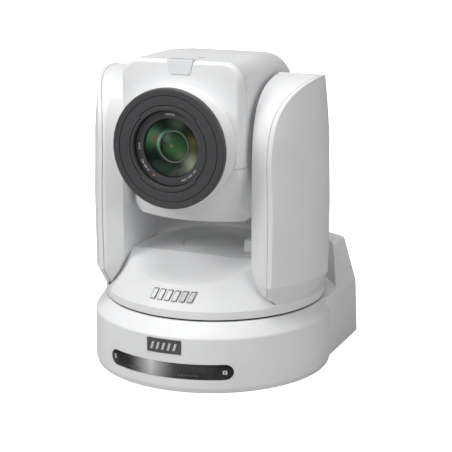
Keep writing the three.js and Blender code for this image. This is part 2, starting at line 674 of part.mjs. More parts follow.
/** The space between the arm's swung-out inner front edge and the cone, drawn in (x, z). */
function flare(side, shift) {
  const far = 25;
  const outline = new THREE.Shape();
  const across = (x) => side * (x - shift);
  outline.moveTo(across(ARM_IN - far), ARM_BOTTOM + FLARE_RISE);
  outline.lineTo(across(ARM_IN), ARM_BOTTOM + FLARE_RISE);
  outline.quadraticCurveTo(
    across(ARM_IN + 2), ARM_CHAMFER_Z, across(ARM_IN + FLARE_RUN), ARM_BOTTOM,
  );
  outline.lineTo(across(ARM_IN + FLARE_RUN), ARM_BOTTOM - 5);
  outline.lineTo(across(ARM_IN - far), ARM_BOTTOM - 5);
  outline.closePath();
  return prism(outline, 'y', ARM_FRONT - 5, FLARE_REAR - shift, 8);
}

const BEARING_X = ARM_IN + WALL + CLEAR;
const BEARING_R = SHAFT_R + 6;
const UPRIGHT_X = ARM_IN + 4.5;
const UPRIGHT_T = 2.5;
const UPRIGHT_Y = [FLARE_REAR + 2, -8];
const UPRIGHT_HEAD = 12; // the upright's head reaches this much further forward

/** What lies ahead of the slanted face between the arm's front and its inner side. */
function nose(side, inset) {
  const lean = NOSE_DEPTH / NOSE_RUN;
  const face = (x) => ARM_FRONT + inset + NOSE_DEPTH - (x - ARM_IN) * lean;
  const [near, far] = [ARM_IN - 5, ARM_IN + NOSE_RUN + 2 * WALL];
  const ahead = ARM_FRONT - 10;
  const points = [[near, face(near)], [far, face(far)], [far, ahead], [near, ahead]];
  return prism(points.map(([x, y]) => [side * x, y]), 'z', ARM_BOTTOM - 5, ARM_TOP + 5);
}

function armHousing(side) {
  const body = common(sidePrism(side, armOutline(0), ARM_IN, 2 * ARM_R), armSkin(WALL + CLEAR));
  const [front, rear] = UPRIGHT_Y;
  return cut(
    body,
    nose(side, 0),
    cut(sidePrism(side, armOutline(WALL), ARM_IN + WALL, 2 * ARM_R), nose(side, WALL)),
    sideBar(side, BEARING_R + 1, ARM_IN - 1, ARM_IN + 5, TILT_Y, TILT_Z),
    sideBlock(
      side, UPRIGHT_X - RUN, UPRIGHT_X + UPRIGHT_T + RUN, front - RUN, rear + RUN,
      ARM_BOTTOM - 1, ARM_BOTTOM + ARM_HEEL / 2,
    ),
    flare(side, 0),
  );
}

function armCover(side) {
  const shell = cut(armSkin(0), armSkin(WALL));
  return cut(common(shell, sidePrism(side, armOutline(0), ARM_IN, 2 * ARM_R)), flare(side, 0));
}

/** The pressed bracket that carries the tilt bearing, with its foot on the turntable plate. */
function upright(side) {
  const [front, rear] = UPRIGHT_Y;
  const foot = TABLE_PLATE_Z + 3 + CLEAR;
  const [neck, top] = [DECK_Z + 6, TILT_Z + 23];
  const plate = [
    [front, foot], [rear, foot], [rear, top], [front - UPRIGHT_HEAD, top],
    [front - UPRIGHT_HEAD, neck + UPRIGHT_HEAD], [front, neck],
  ];
  return cut(
    join(
      sidePrism(side, plate, UPRIGHT_X, UPRIGHT_X + UPRIGHT_T),
      sideBlock(side, UPRIGHT_X - 24, UPRIGHT_X + 1, front, rear, foot, foot + 2),
    ),
    sideBar(side, BEARING_R + CLEAR, UPRIGHT_X - 1, UPRIGHT_X + UPRIGHT_T + 1, TILT_Y, TILT_Z),
  );
}

function tiltBearing(side) {
  return cut(
    sideBar(side, BEARING_R, BEARING_X, BEARING_X + 7, TILT_Y, TILT_Z),
    sideBar(side, SHAFT_R + RUN, BEARING_X - 1, BEARING_X + 8, TILT_Y, TILT_Z),
  );
}

function arms() {
  for (const [name, side] of [['left', -1], ['right', 1]]) {
    piece(`${name}_arm_housing`, armHousing(side), WHITE, 0.5);
    piece(`${name}_arm_cover`, armCover(side), WHITE, 0.5);
    piece(`${name}_upright`, upright(side), STEEL, 0.45, 0.8);
    piece(`${name}_tilt_bearing`, tiltBearing(side), STEEL, 0.3, 1);
  }
}

function tiltDrive() {
  const y = TILT_Y + TILT_PINION_AT * Math.cos(TILT_PINION_ANGLE);
  const z = TILT_Z + TILT_PINION_AT * Math.sin(TILT_PINION_ANGLE);
  const far = TILT_GEAR_X + TILT_GEAR_W;
  const motor = join(
    bar(TILT_MOTOR_R, far + 1.5, far + 17, 'x', [0, y, z], COARSE),
    bar(MOTOR_SHAFT_R, TILT_GEAR_X, far + 2, 'x', [0, y, z], COARSE),
  );
  piece('tilt_motor', motor, BLACK, 0.5, 0.5);
  const bore = MOTOR_SHAFT_R + CLEAR;
  const start = facing(TILT_PINION_ANGLE);
  const pinion = gear(PINION_TEETH, bore, start, 'x', TILT_GEAR_X, far, [0, y, z]);
  piece('tilt_pinion', pinion, BRASS, 0.35, 1);
  const wheel = gear(
    TILT_TEETH, SHAFT_R + CLEAR, TILT_PINION_ANGLE, 'x', TILT_GEAR_X, far, [0, TILT_Y, TILT_Z],
  );
  piece('tilt_gear', wheel, STEEL, 0.4, 1);
}

// ---------------------------------------------------------------- head
/** The head seen from the side, with an underside that clears the deck when it tilts. */
function headSide(inset) {
  const [front, rear] = [HEAD_FRONT + inset, HEAD_REAR - inset];
  const [bottom, top] = [HEAD_BOTTOM + inset, HEAD_TOP - inset];
  const swing = 84 - inset;
  const shape = new THREE.Shape();
  shape.moveTo(front, top);
  shape.lineTo(front, TILT_Z - 47);
  shape.lineTo(front + 2.5, HEAD_BOTTOM + 7 + inset * 0.7);
  shape.lineTo(front + 14, bottom);
  shape.absarc(
    TILT_Y, TILT_Z, swing,
    -Math.asin((TILT_Z - bottom) / swing), -Math.acos((rear - TILT_Y) / swing), false,
  );
  shape.lineTo(rear, TILT_Z + 32);
  shape.quadraticCurveTo(rear - 1, top - 14, 18, top);
  shape.closePath();
  return shape;
}

/** The head seen from the front, with rounder shoulders than underside corners. */
function headFront(inset) {
  const half = HEAD_HALF - inset;
  const [bottom, top] = [HEAD_BOTTOM + inset, HEAD_TOP - inset];
  const [shoulder, corner] = [HEAD_SHOULDER - inset, HEAD_CORNER - inset];
  const shape = new THREE.Shape();
  shape.absarc(half - corner, bottom + corner, corner, -Math.PI / 2, 0);
  shape.absarc(half - shoulder, top - shoulder, shoulder, 0, Math.PI / 2);
  shape.absarc(shoulder - half, top - shoulder, shoulder, Math.PI / 2, Math.PI);
  shape.absarc(corner - half, bottom + corner, corner, Math.PI, Math.PI * 1.5);
  shape.closePath();
  return shape;
}

function headSolid(inset) {
  const across = prism(headSide(inset), 'x', inset - HEAD_HALF, HEAD_HALF - inset, 10);
  return common(across, prism(headFront(inset), 'y', HEAD_FRONT - 5, HEAD_REAR + 5, 6));
}

/** The front panel outline: round below, about the lens, and square-shouldered above. */
function panelOutline(grow) {
  const half = PANEL_HALF + grow;
  const top = HEAD_TOP - WALL + grow;
  const shoulder = PANEL_SHOULDER + grow;
  const shape = new THREE.Shape();
  shape.absarc(0, LENS_Z, half, Math.PI, Math.PI * 2);
  shape.absarc(half - shoulder, top - shoulder, shoulder, 0, Math.PI / 2);
  shape.absarc(shoulder - half, top - shoulder, shoulder, Math.PI / 2, Math.PI);
  shape.closePath();
  return shape;
}

/** The tally lamp: a wedge at the top of the front panel that wraps onto the top. */
function tally(grow) {
  const top = HEAD_TOP + 0.6 + grow;
  const low = HEAD_TOP - 12 - grow;
  const outline = [[-9 - grow, low], [9 + grow, low], [12 + grow, top], [-12 - grow, top]];
  const lamp = prism(outline, 'y', HEAD_FRONT - 0.5 - grow, HEAD_FRONT + 9 + grow);
  const behind = block(-30, 30, HEAD_FRONT + 3.5 + grow, 0, 0, HEAD_TOP - 2 - grow);
  return cut(lamp, behind);
}

function headShells() {
  const hollow = headSolid(WALL);
  const mouth = prism(panelOutline(CLEAR), 'y', HEAD_FRONT - 5, HEAD_FRONT + WALL + 1, 14);
  const shaftHole = bar(SHAFT_R + 2, -HEAD_HALF - 5, HEAD_HALF + 5, 'x', [0, TILT_Y, TILT_Z], COARSE);
  const shell = cut(headSolid(0), hollow, mouth, shaftHole, tally(CLEAR));
  const [wide, gap] = [300, CLEAR / 2];
  const above = block(-wide, wide, -wide, wide, SEAM_Z + gap, SEAM_Z + wide);
  const below = block(-wide, wide, -wide, wide, SEAM_Z - wide, SEAM_Z - gap);
  piece('head_upper_shell', common(shell, above), WHITE, 0.5);
  piece('head_lower_shell', common(shell, below), WHITE, 0.5);
  const panel = cut(
    prism(panelOutline(0), 'y', HEAD_FRONT, HEAD_FRONT + WALL, 14),
    bar(BARREL_R + 2, HEAD_FRONT - 5, HEAD_FRONT + 10, 'y', [0, 0, LENS_Z]),
    tally(CLEAR),
  );
  piece('front_panel', panel, WHITE, 0.5);
  piece('tally_lamp', tally(0), 0xdfe3e6, 0.35);
}

const SHEET = 2.5; // chassis sheet

/** The frame that joins lens block, boards and tilt shafts: floor, two cheeks and a front bulkhead. */
function chassis() {
  const half = CHASSIS_HALF;
  const [floor, top] = [HEAD_BOTTOM + 8, HEAD_TOP - 28];
  const frame = join(
    block(-half, half, -60, 0, floor, floor + SHEET),
    block(-half, SHEET - half, -60, 0, floor, top),
    block(half - SHEET, half, -60, 0, floor, top),
    block(-half, half, -60, SHEET - 60, floor, top),
  );
  return cut(frame, bar(BARREL_R + CLEAR, -70, BARREL_REAR + CLEAR, 'y', [0, 0, LENS_Z]));
}

function tiltShaft(side, reach) {
  return join(
    sideBar(side, 15, CHASSIS_HALF + CLEAR, CHASSIS_HALF + 2, TILT_Y, TILT_Z),
    sideBar(side, SHAFT_R, CHASSIS_HALF + 1, reach, TILT_Y, TILT_Z),
  );
}

/** A turned piece on the lens axis. */
const onLens = (profile, facets = FINE) => turned(profile, 'y', [0, 0, LENS_Z], facets);
const CARRIAGE_R = BARREL_R - BARREL_WALL - RUN;

/** A moving lens group: a ring that slides in the barrel, with its glass. */
function carriage(from, to) {
  const middle = (from + to) / 2;
  return onLens([
    [0, middle - 2], [18, middle - 1], [19, from], [CARRIAGE_R, from], [CARRIAGE_R, to],
    [19, to], [18, middle + 1], [0, middle + 2],
  ], MEDIUM);
}

function lens() {
  const collarRear = HEAD_FRONT - CLEAR;
  piece('lens_collar', onLens([
    [COLLAR_R - COLLAR_WALL, COLLAR_FRONT], [COLLAR_R, COLLAR_FRONT], [COLLAR_R, collarRear],
    [COLLAR_R - COLLAR_WALL, collarRear], [COLLAR_R - COLLAR_WALL, COLLAR_FRONT],
  ]), WHITE, 0.45);
  const back = COLLAR_FRONT - CLEAR;
  piece('lens_ring', onLens([
    [COLLAR_R - 0.1, back], [COLLAR_R - 0.1, RING_FRONT + 1.4], [COLLAR_R - 1.5, RING_FRONT],
    [NAME_RING_R + 0.6, RING_FRONT], [NAME_RING_R, RING_FRONT + 3.1], [GLASS_R, back - 0.9],
    [GLASS_R, back], [COLLAR_R - 0.1, back],
  ].reverse()), GREY, 0.5);
  const inner = BARREL_R - BARREL_WALL;
  const barrel = [
    [inner, COLLAR_FRONT], [BARREL_R, COLLAR_FRONT], [BARREL_R, BARREL_REAR],
    [inner, BARREL_REAR], [inner, COLLAR_FRONT],
  ];
  piece('lens_barrel', onLens(barrel, MEDIUM), BLACK, 0.5);
  const glassR = inner - CLEAR;
  piece('front_lens', onLens([
    [0, COLLAR_FRONT + 0.5], [glassR * 0.6, COLLAR_FRONT + 1.6], [glassR, COLLAR_FRONT + 4],
    [glassR, COLLAR_FRONT + 9], [0, COLLAR_FRONT + 7],
  ], MEDIUM), 0x24342c, 0.05);
  piece('zoom_carriage', carriage(-68, -62), BLACK, 0.4);
  piece('focus_carriage', carriage(-42, -37), BLACK, 0.4);
}

const WHEEL = { x: 16, r: 30, from: -25.5, to: -23.5, windowAt: 16, windowR: 9 };

/** The filter turret behind the lens: four windows, one on the lens axis. */
function filterWheel() {
  const windows = [0, 1, 2, 3].map((step) => {
    const angle = Math.PI + step * Math.PI / 2;
    const x = WHEEL.x + WHEEL.windowAt * Math.cos(angle);
    const z = LENS_Z + WHEEL.windowAt * Math.sin(angle);
    return bar(WHEEL.windowR, WHEEL.from - 1, WHEEL.to + 1, 'y', [x, 0, z], 20);
  });
  const disc = bar(WHEEL.r, WHEEL.from, WHEEL.to, 'y', [WHEEL.x, 0, LENS_Z], MEDIUM);
  return cut(disc, ...windows);
}

function headBody() {
  headShells();
  piece('head_chassis', chassis(), STEEL, 0.45, 0.8);
  piece('left_tilt_shaft', tiltShaft(-1, BEARING_X + 8), STEEL, 0.3, 1);
  piece('right_tilt_shaft', tiltShaft(1, TILT_GEAR_X + TILT_GEAR_W + 1), STEEL, 0.3, 1);
  lens();
  piece('filter_wheel', filterWheel(), BLACK, 0.5);
  const board = join(
    block(-36, 36, -16, -14.4, LENS_Z - 30, LENS_Z + 30),
    block(-11, 11, -19, -15, LENS_Z - 9, LENS_Z + 9),
  );
  piece('image_board', board, BOARD, 0.5);
}

baseBody();
turntableBody();
arms();
tiltDrive();
headBody();

const frontY = -BASE_LEAD - BASE_R - 0.4; // face of the model plate
assembly.position.y = -(frontY + BOX_REAR_Y) / 2;

export default assembly;
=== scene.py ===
"""The finished look of a PTZ broadcast camera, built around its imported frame.

Lengths in the classes are millimetres about the pan axis; meshes are written in metres in the
frame's own coordinates.
"""
import json
import logging
import math
from collections.abc import Callable, Sequence
from dataclasses import dataclass
from enum import Enum

import bmesh
import bpy
from mathutils import Matrix, Vector


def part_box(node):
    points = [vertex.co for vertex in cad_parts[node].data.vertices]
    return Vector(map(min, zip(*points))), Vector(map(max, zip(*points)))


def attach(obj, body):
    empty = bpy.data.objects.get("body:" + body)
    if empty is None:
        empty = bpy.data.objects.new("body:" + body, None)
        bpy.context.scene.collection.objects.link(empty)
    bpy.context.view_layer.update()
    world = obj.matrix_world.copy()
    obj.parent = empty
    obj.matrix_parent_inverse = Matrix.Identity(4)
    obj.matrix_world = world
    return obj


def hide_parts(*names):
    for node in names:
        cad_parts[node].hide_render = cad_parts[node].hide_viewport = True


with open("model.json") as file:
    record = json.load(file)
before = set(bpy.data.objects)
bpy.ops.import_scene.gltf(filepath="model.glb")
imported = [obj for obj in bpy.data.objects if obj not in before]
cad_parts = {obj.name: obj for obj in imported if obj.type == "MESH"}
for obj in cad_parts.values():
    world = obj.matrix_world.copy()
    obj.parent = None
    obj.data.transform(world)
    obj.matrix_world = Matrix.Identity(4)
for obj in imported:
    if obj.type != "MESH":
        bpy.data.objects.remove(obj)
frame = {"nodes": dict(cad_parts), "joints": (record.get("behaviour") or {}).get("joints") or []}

LOG = logging.getLogger("ptz")
MM = 0.001
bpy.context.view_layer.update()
TURN = 2 * math.pi
BELL = 0.3679

Point = tuple[float, float]
Colour = tuple[float, float, float]


class Axis(Enum):
    """The direction that a turned piece stands along."""

    X = (1, 0, 0)
    Y = (0, 1, 0)
    Z = (0, 0, 1)


def joint_place(name: str) -> Vector:
    """The pivot of a joint, in millimetres, in the frame's coordinates."""
    joint = next(j for j in frame["joints"] if j["name"] == name)
    return Vector(joint["pos_m"]) / MM


PAN_Y = joint_place("pan").y
TILT = joint_place("tilt") - Vector((0, PAN_Y, 0))
LENS_Z = sum(corner.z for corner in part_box("lens_ring")) / 2 / MM
HEAD_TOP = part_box("head_upper_shell")[1].z / MM
HEAD_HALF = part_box("head_upper_shell")[1].x / MM
BASE_R = -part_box("base_shell")[0].x / MM
ARM_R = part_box("right_arm_cover")[1].x / MM
ARM_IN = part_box("right_arm_housing")[0].x / MM
ARM_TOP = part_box("right_arm_housing")[1].z / MM
DECK_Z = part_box("deck_cap")[1].z / MM + 0.2
TABLE_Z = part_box("turntable_shell")[0].z / MM
TABLE_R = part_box("turntable_shell")[1].x / MM
RIM_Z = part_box("pan_seal")[0].z / MM - 0.3
BASE_LEAD = 4.6


# ------------------------------------------------------------------ outlines
def rounded(corners: Sequence[tuple[float, float, float]], steps: int = 6) -> list[Point]:
    """Rounds the corners of a closed outline.

    Args:
        corners: Each corner as (u, v, radius).
        steps: Segments in each arc.

    Returns:
        The outline's points, in order.
    """
    points: list[Point] = []
    count = len(corners)
    for index, (u, v, radius) in enumerate(corners):
        here = Vector((u, v))
        before = Vector(corners[index - 1][:2]) - here
        after = Vector(corners[(index + 1) % count][:2]) - here
        if radius <= 0 or before.length < 1e-6 or after.length < 1e-6:
            points.append((u, v))
            continue
        half = before.angle(after) / 2
        if half > math.pi / 2 - 1e-3:
            points.append((u, v))
            continue
        reach = min(radius / math.tan(half), before.length * 0.49, after.length * 0.49)
        radius = reach * math.tan(half)
        middle = here + (before.normalized() + after.normalized()).normalized() * radius / math.sin(half)
        start = here + before.normalized() * reach - middle
        turn = start.angle_signed(here + after.normalized() * reach - middle)
        for step in range(steps + 1):
            spoke = start.copy()
            spoke.rotate(Matrix.Rotation(-turn * step / steps, 2))
            points.append(tuple(middle + spoke))
    return points


def bezier(a: Point, b: Point, c: Point, d: Point, steps: int) -> list[Point]:
    """Points on a cubic curve from a to d."""
    out = []
    for step in range(steps + 1):
        t = step / steps
        weights = ((1 - t) ** 3, 3 * t * (1 - t) ** 2, 3 * t * t * (1 - t), t ** 3)
        out.append(tuple(sum(w * p[k] for w, p in zip(weights, (a, b, c, d))) for k in (0, 1)))
    return out


def smooth(t: float) -> float:
    """An S-shaped blend from 0 to 1."""
    t = min(1.0, max(0.0, t))
    return t * t * (3 - 2 * t)


# ------------------------------------------------------------------ mesh work
def turned(
    profile: Sequence[Point], axis: Axis = Axis.Z, centre: Sequence[float] = (0, 0, 0),
    steps: int = 128, closed: bool = True,
) -> bmesh.types.BMesh:
    """Spins a (radius, place) profile about an axis.

    Args:
        profile: The outline, as radius and place along the axis.
        axis: The axis to spin about.
        centre: A point on the axis.
        steps: Segments in the full turn.
        closed: Whether the last point joins the first.

    Returns:
        The turned mesh, in millimetres.
    """
    bm = bmesh.new()
    along = Vector(axis.value)
    across = Vector((0, 0, 1)) if axis is Axis.X else Vector((1, 0, 0))
    middle = Vector(centre)
    verts = [bm.verts.new(middle + across * r + along * h) for r, h in profile]
    pairs = list(zip(verts, verts[1:]))
    if closed and len(verts) > 2:
        pairs.append((verts[-1], verts[0]))
    edges = [bm.edges.new(pair) for pair in pairs]
    bmesh.ops.spin(
        bm, geom=verts + edges, cent=middle, axis=along, dvec=(0, 0, 0), angle=TURN,
        steps=steps, use_merge=True, use_duplicate=False,
    )
    bmesh.ops.remove_doubles(bm, verts=bm.verts, dist=1e-4)
    loose = [edge for edge in bm.edges if not edge.link_faces]
    bmesh.ops.delete(bm, geom=loose, context="EDGES")
    bmesh.ops.recalc_face_normals(bm, faces=bm.faces)
    return bm


def lofted(
    rings: Sequence[Sequence[Vector]], start_cap: bool = True, end_cap: bool = True,
) -> bmesh.types.BMesh:
    """Extrudes a closed ring through a row of places.

    Args:
        rings: Closed rings with the same number of points, in order.
        start_cap: Whether the first ring is filled.
        end_cap: Whether the last ring is filled.

    Returns:
        The lofted mesh, in millimetres.
    """
    bm = bmesh.new()
    verts = [bm.verts.new(point) for point in rings[0]]
    edges = [bm.edges.new((verts[i - 1], verts[i])) for i in range(len(verts))]
    if start_cap:
        bmesh.ops.contextual_create(bm, geom=edges)
    for ring in rings[1:]:
        made = bmesh.ops.extrude_edge_only(bm, edges=edges)["geom"]
        fresh = {item for item in made if isinstance(item, bmesh.types.BMVert)}
        following = []
        for vert, place in zip(verts, ring):
            twin = next(e.other_vert(vert) for e in vert.link_edges if e.other_vert(vert) in fresh)
            twin.co = place
            following.append(twin)
        verts = following
        joined = set(verts)
        edges = [
            item for item in made
            if isinstance(item, bmesh.types.BMEdge) and set(item.verts) <= joined
        ]
    if end_cap:
        bmesh.ops.contextual_create(bm, geom=edges)
    bmesh.ops.remove_doubles(bm, verts=bm.verts, dist=1e-4)
    bmesh.ops.recalc_face_normals(bm, faces=bm.faces)
    return bm


def lifted(outline: Sequence[Point], axis: Axis, place: float) -> list[Vector]:
    """An outline set at a place on an axis: (y, z), (x, z) or (x, y) outlines."""
    if axis is Axis.X:
        return [Vector((place, u, v)) for u, v in outline]
    if axis is Axis.Y:
        return [Vector((u, place, v)) for u, v in outline]
    return [Vector((u, v, place)) for u, v in outline]


def prism(outline: Sequence[Point], axis: Axis, low: float, high: float) -> bmesh.types.BMesh:
    """An outline extruded between two places on an axis."""
    return lofted([lifted(outline, axis, low), lifted(outline, axis, high)])


def block(low: Sequence[float], high: Sequence[float], edge: float = 0.0) -> bmesh.types.BMesh:
    """A box between two corners, with its edges rounded."""
    bm = bmesh.new()
    size = [b - a for a, b in zip(low, high)]
    middle = [(a + b) / 2 for a, b in zip(low, high)]
    bmesh.ops.create_cube(bm, size=1, matrix=Matrix.Translation(middle) @ Matrix.Diagonal((*size, 1)))
    if edge:
        soften(bm, edge, 3, 30)
    return bm


def soften(
    bm: bmesh.types.BMesh, width: float, segments: int = 3, angle: float = 30.0,
    where: Callable[[Vector], bool] | None = None,
) -> bmesh.types.BMesh:
    """Rounds the edges that turn more than an angle.

    Args:
        bm: The mesh, in millimetres.
        width: How far the rounding reaches from the edge.
        segments: Faces across the rounding.
        angle: The least turn, in degrees.
        where: A test on the middle of an edge, if only some are rounded.

    Returns:
        The same mesh.
    """
    bm.normal_update()
    edges = []
    for edge in bm.edges:
        if len(edge.link_faces) != 2 or edge.calc_face_angle(0) < math.radians(angle):
            continue
        if where is None or where((edge.verts[0].co + edge.verts[1].co) / 2):
            edges.append(edge)
    bmesh.ops.bevel(
        bm, geom=edges, offset=width, segments=segments, profile=0.5, affect="EDGES",
        material=-1, clamp_overlap=True,
    )
    return bm


def joined(*parts: bmesh.types.BMesh) -> bmesh.types.BMesh:
    """Puts several meshes into one, without cutting them."""
    whole = bmesh.new()
    for part in parts:
        mesh = bpy.data.meshes.new("part")
        part.to_mesh(mesh)
        part.free()
        whole.from_mesh(mesh)
        bpy.data.meshes.remove(mesh)
    return whole


def as_object(bm: bmesh.types.BMesh, name: str) -> bpy.types.Object:
    """A linked object holding the mesh as it is."""
    mesh = bpy.data.meshes.new(name)
    bm.to_mesh(mesh)
    bm.free()
    obj = bpy.data.objects.new(name, mesh)
    bpy.context.scene.collection.objects.link(obj)
    return obj


def evaluated(obj: bpy.types.Object) -> bmesh.types.BMesh:
    """The object's mesh with its modifiers applied; the object itself is removed."""
    graph = bpy.context.evaluated_depsgraph_get()
    mesh = bpy.data.meshes.new_from_object(obj.evaluated_get(graph))
    bm = bmesh.new()
    bm.from_mesh(mesh)
    data = obj.data
    bpy.data.objects.remove(obj)
    bpy.data.meshes.remove(data)
    bpy.data.meshes.remove(mesh)
    return bm


class Cut(Enum):
    """How one solid meets another."""

    JOIN = "UNION"
    REMOVE = "DIFFERENCE"
    KEEP = "INTERSECT"


def combined(
    body: bmesh.types.BMesh, tool: bmesh.types.BMesh, how: Cut = Cut.REMOVE,
) -> bmesh.types.BMesh:
    """Joins or cuts one closed mesh with another."""
    obj = as_object(body, "body")
    cutter = as_object(tool, "tool")
    modifier = obj.modifiers.new("cut", "BOOLEAN")
    modifier.operation = how.value
    modifier.solver = "MANIFOLD"
    modifier.object = cutter
    bm = evaluated(obj)
    data = cutter.data
    bpy.data.objects.remove(cutter)
    bpy.data.meshes.remove(data)
    bmesh.ops.remove_doubles(bm, verts=bm.verts, dist=1e-3)
    return bm


def walled(bm: bmesh.types.BMesh, thickness: float) -> bmesh.types.BMesh:
    """Gives an open surface a wall on its inner side."""
    obj = as_object(bm, "wall")
    modifier = obj.modifiers.new("wall", "SOLIDIFY")
    modifier.thickness = thickness
    modifier.offset = -1
    modifier.use_even_offset = True
    modifier.use_rim = True
    return evaluated(obj)


def trimmed(bm: bmesh.types.BMesh, point: Sequence[float], outward: Sequence[float]) -> bmesh.types.BMesh:
    """Removes what lies on the outward side of a plane, leaving the edge open."""
    bmesh.ops.bisect_plane(
        bm, geom=bm.verts[:] + bm.edges[:] + bm.faces[:], dist=1e-4, plane_co=point,
        plane_no=outward, clear_outer=True,
    )
    return bm


def placed(
    bm: bmesh.types.BMesh, name: str, body: str, material: bpy.types.Material,
    stands_for: Sequence[str] = (), crease: float = 35.0,
) -> bpy.types.Object:
    """Writes a mesh into the frame as a finished piece.

    Args:
        bm: The mesh, in millimetres about the pan axis.
        name: The piece's name.
        body: The moving body that it rides on.
        material: Its finish.
        stands_for: CAD nodes that it replaces.
        crease: Edges that turn more than this many degrees stay crisp.

    Returns:
        The new object.
    """
    bmesh.ops.transform(
        bm, verts=bm.verts, matrix=Matrix.Scale(MM, 4) @ Matrix.Translation((0, PAN_Y, 0)),
    )
    obj = as_object(bm, name)
    for polygon in obj.data.polygons:
        polygon.use_smooth = True
    obj.data.set_sharp_from_angle(angle=math.radians(crease))
    obj.data.materials.append(material)
    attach(obj, body)
    if stands_for:
        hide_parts(*stands_for)
    LOG.info("piece %s: %d faces on %s", name, len(obj.data.polygons), body)
    return obj


# ------------------------------------------------------------------ shared shader effects
class Links:
    """Small helper that makes nodes and joins them."""

    def __init__(self, tree: bpy.types.NodeTree) -> None:
        """Keeps the tree that nodes are made in."""
        self.tree = tree

    def node(self, kind: str, **values: object) -> bpy.types.Node:
        """Makes a node and sets its input values by name."""
        made = self.tree.nodes.new(kind)
        for key, value in values.items():
            made.inputs[key.replace("_", " ")].default_value = value
        return made

    def join(self, source: bpy.types.NodeSocket, target: bpy.types.NodeSocket) -> None:
        """Links an output to an input."""
        self.tree.links.new(source, target)

    def math(self, operation: str, a: object, b: object) -> bpy.types.NodeSocket:
        """A Math node on sockets or numbers."""
        made = self.tree.nodes.new("ShaderNodeMath")
        made.operation = operation
        for slot, value in zip(made.inputs, (a, b)):
            if isinstance(value, bpy.types.NodeSocket):
                self.join(value, slot)
            else:
                slot.default_value = value
        return made.outputs[0]

    def ramp(self, source: bpy.types.NodeSocket, low: float, high: float) -> bpy.types.NodeSocket:
        """Stretches low..high to 0..1."""
        made = self.tree.nodes.new("ShaderNodeMapRange")
        made.inputs["From Min"].default_value = low
        made.inputs["From Max"].default_value = high
        self.join(source, made.inputs["Value"])
        return made.outputs["Result"]

    def mix(self, factor: object, a: object, b: object) -> bpy.types.NodeSocket:
        """Mixes two colours."""
        made = self.tree.nodes.new("ShaderNodeMix")
        made.data_type = "RGBA"
        for name, value in (("Factor_Float", factor), ("A_Color", a), ("B_Color", b)):
            target = next(s for s in made.inputs if s.identifier == name)
            if isinstance(value, bpy.types.NodeSocket):
                self.join(value, target)
            else:
                target.default_value = (*value, 1) if isinstance(value, tuple) else value
        return next(s for s in made.outputs if s.identifier == "Result_Color")


def new_group(name: str, inputs: dict[str, float], outputs: Sequence[str]) -> tuple:
    """Starts a node group with float inputs and outputs.

    Args:
        name: The group's name.
        inputs: Input names and their defaults.
        outputs: Output names.

    Returns:
        The group, its links helper, its input node and its output node.
    """
    group = bpy.data.node_groups.new(name, "ShaderNodeTree")
    for key, value in inputs.items():
        socket = group.interface.new_socket(key, in_out="INPUT", socket_type="NodeSocketFloat")
        socket.default_value = value
    for key in outputs:
        group.interface.new_socket(key, in_out="OUTPUT", socket_type="NodeSocketFloat")
    links = Links(group)
    return group, links, links.node("NodeGroupInput"), links.node("NodeGroupOutput")


def grain_group() -> bpy.types.NodeTree:
    """Moulded or cast grain: a fine height, and a slow tone that drifts over the piece."""
    group, links, given, out = new_group(
        "moulded_grain", {"Fineness": 1800.0, "Drift": 14.0}, ("Height", "Tone", "Speck"),
    )
    place = links.node("ShaderNodeTexCoord").outputs["Object"]
    fine = links.node("ShaderNodeTexNoise", Detail=3.0, Roughness=0.6)
    links.join(place, fine.inputs["Vector"])
    links.join(given.outputs["Fineness"], fine.inputs["Scale"])
    slow = links.node("ShaderNodeTexNoise", Detail=4.0, Roughness=0.55)
    links.join(place, slow.inputs["Vector"])
    links.join(given.outputs["Drift"], slow.inputs["Scale"])
    cells = links.node("ShaderNodeTexVoronoi")
    links.join(place, cells.inputs["Vector"])
    links.join(links.math("MULTIPLY", given.outputs["Fineness"], 0.22), cells.inputs["Scale"])
    links.join(fine.outputs["Fac"], out.inputs["Height"])
    links.join(links.ramp(slow.outputs["Fac"], 0.3, 0.7), out.inputs["Tone"])
    links.join(links.ramp(cells.outputs["Distance"], 0.16, 0.02), out.inputs["Speck"])
    return group


def wear_group() -> bpy.types.NodeTree:
    """Where edges are rubbed, and where hollow corners are darkened, from the surface's curvature."""
    group, links, given, out = new_group("edge_wear", {"Reach": 0.03}, ("Edge", "Corner"))
    bend = links.node("ShaderNodeNewGeometry").outputs["Pointiness"]
    place = links.node("ShaderNodeTexCoord").outputs["Object"]
    patchy = links.node("ShaderNodeTexNoise", Scale=60.0, Detail=5.0, Roughness=0.7)
    links.join(place, patchy.inputs["Vector"])
    high = links.math("SUBTRACT", bend, 0.5)
    edge = links.math("DIVIDE", high, given.outputs["Reach"])
    broken = links.math("MULTIPLY", edge, links.ramp(patchy.outputs["Fac"], 0.35, 0.65))
    links.join(links.ramp(broken, 0.1, 1.0), out.inputs["Edge"])
    hollow = links.math("DIVIDE", links.math("SUBTRACT", 0.5, bend), given.outputs["Reach"])
    links.join(links.ramp(hollow, 0.1, 1.0), out.inputs["Corner"])
    return group


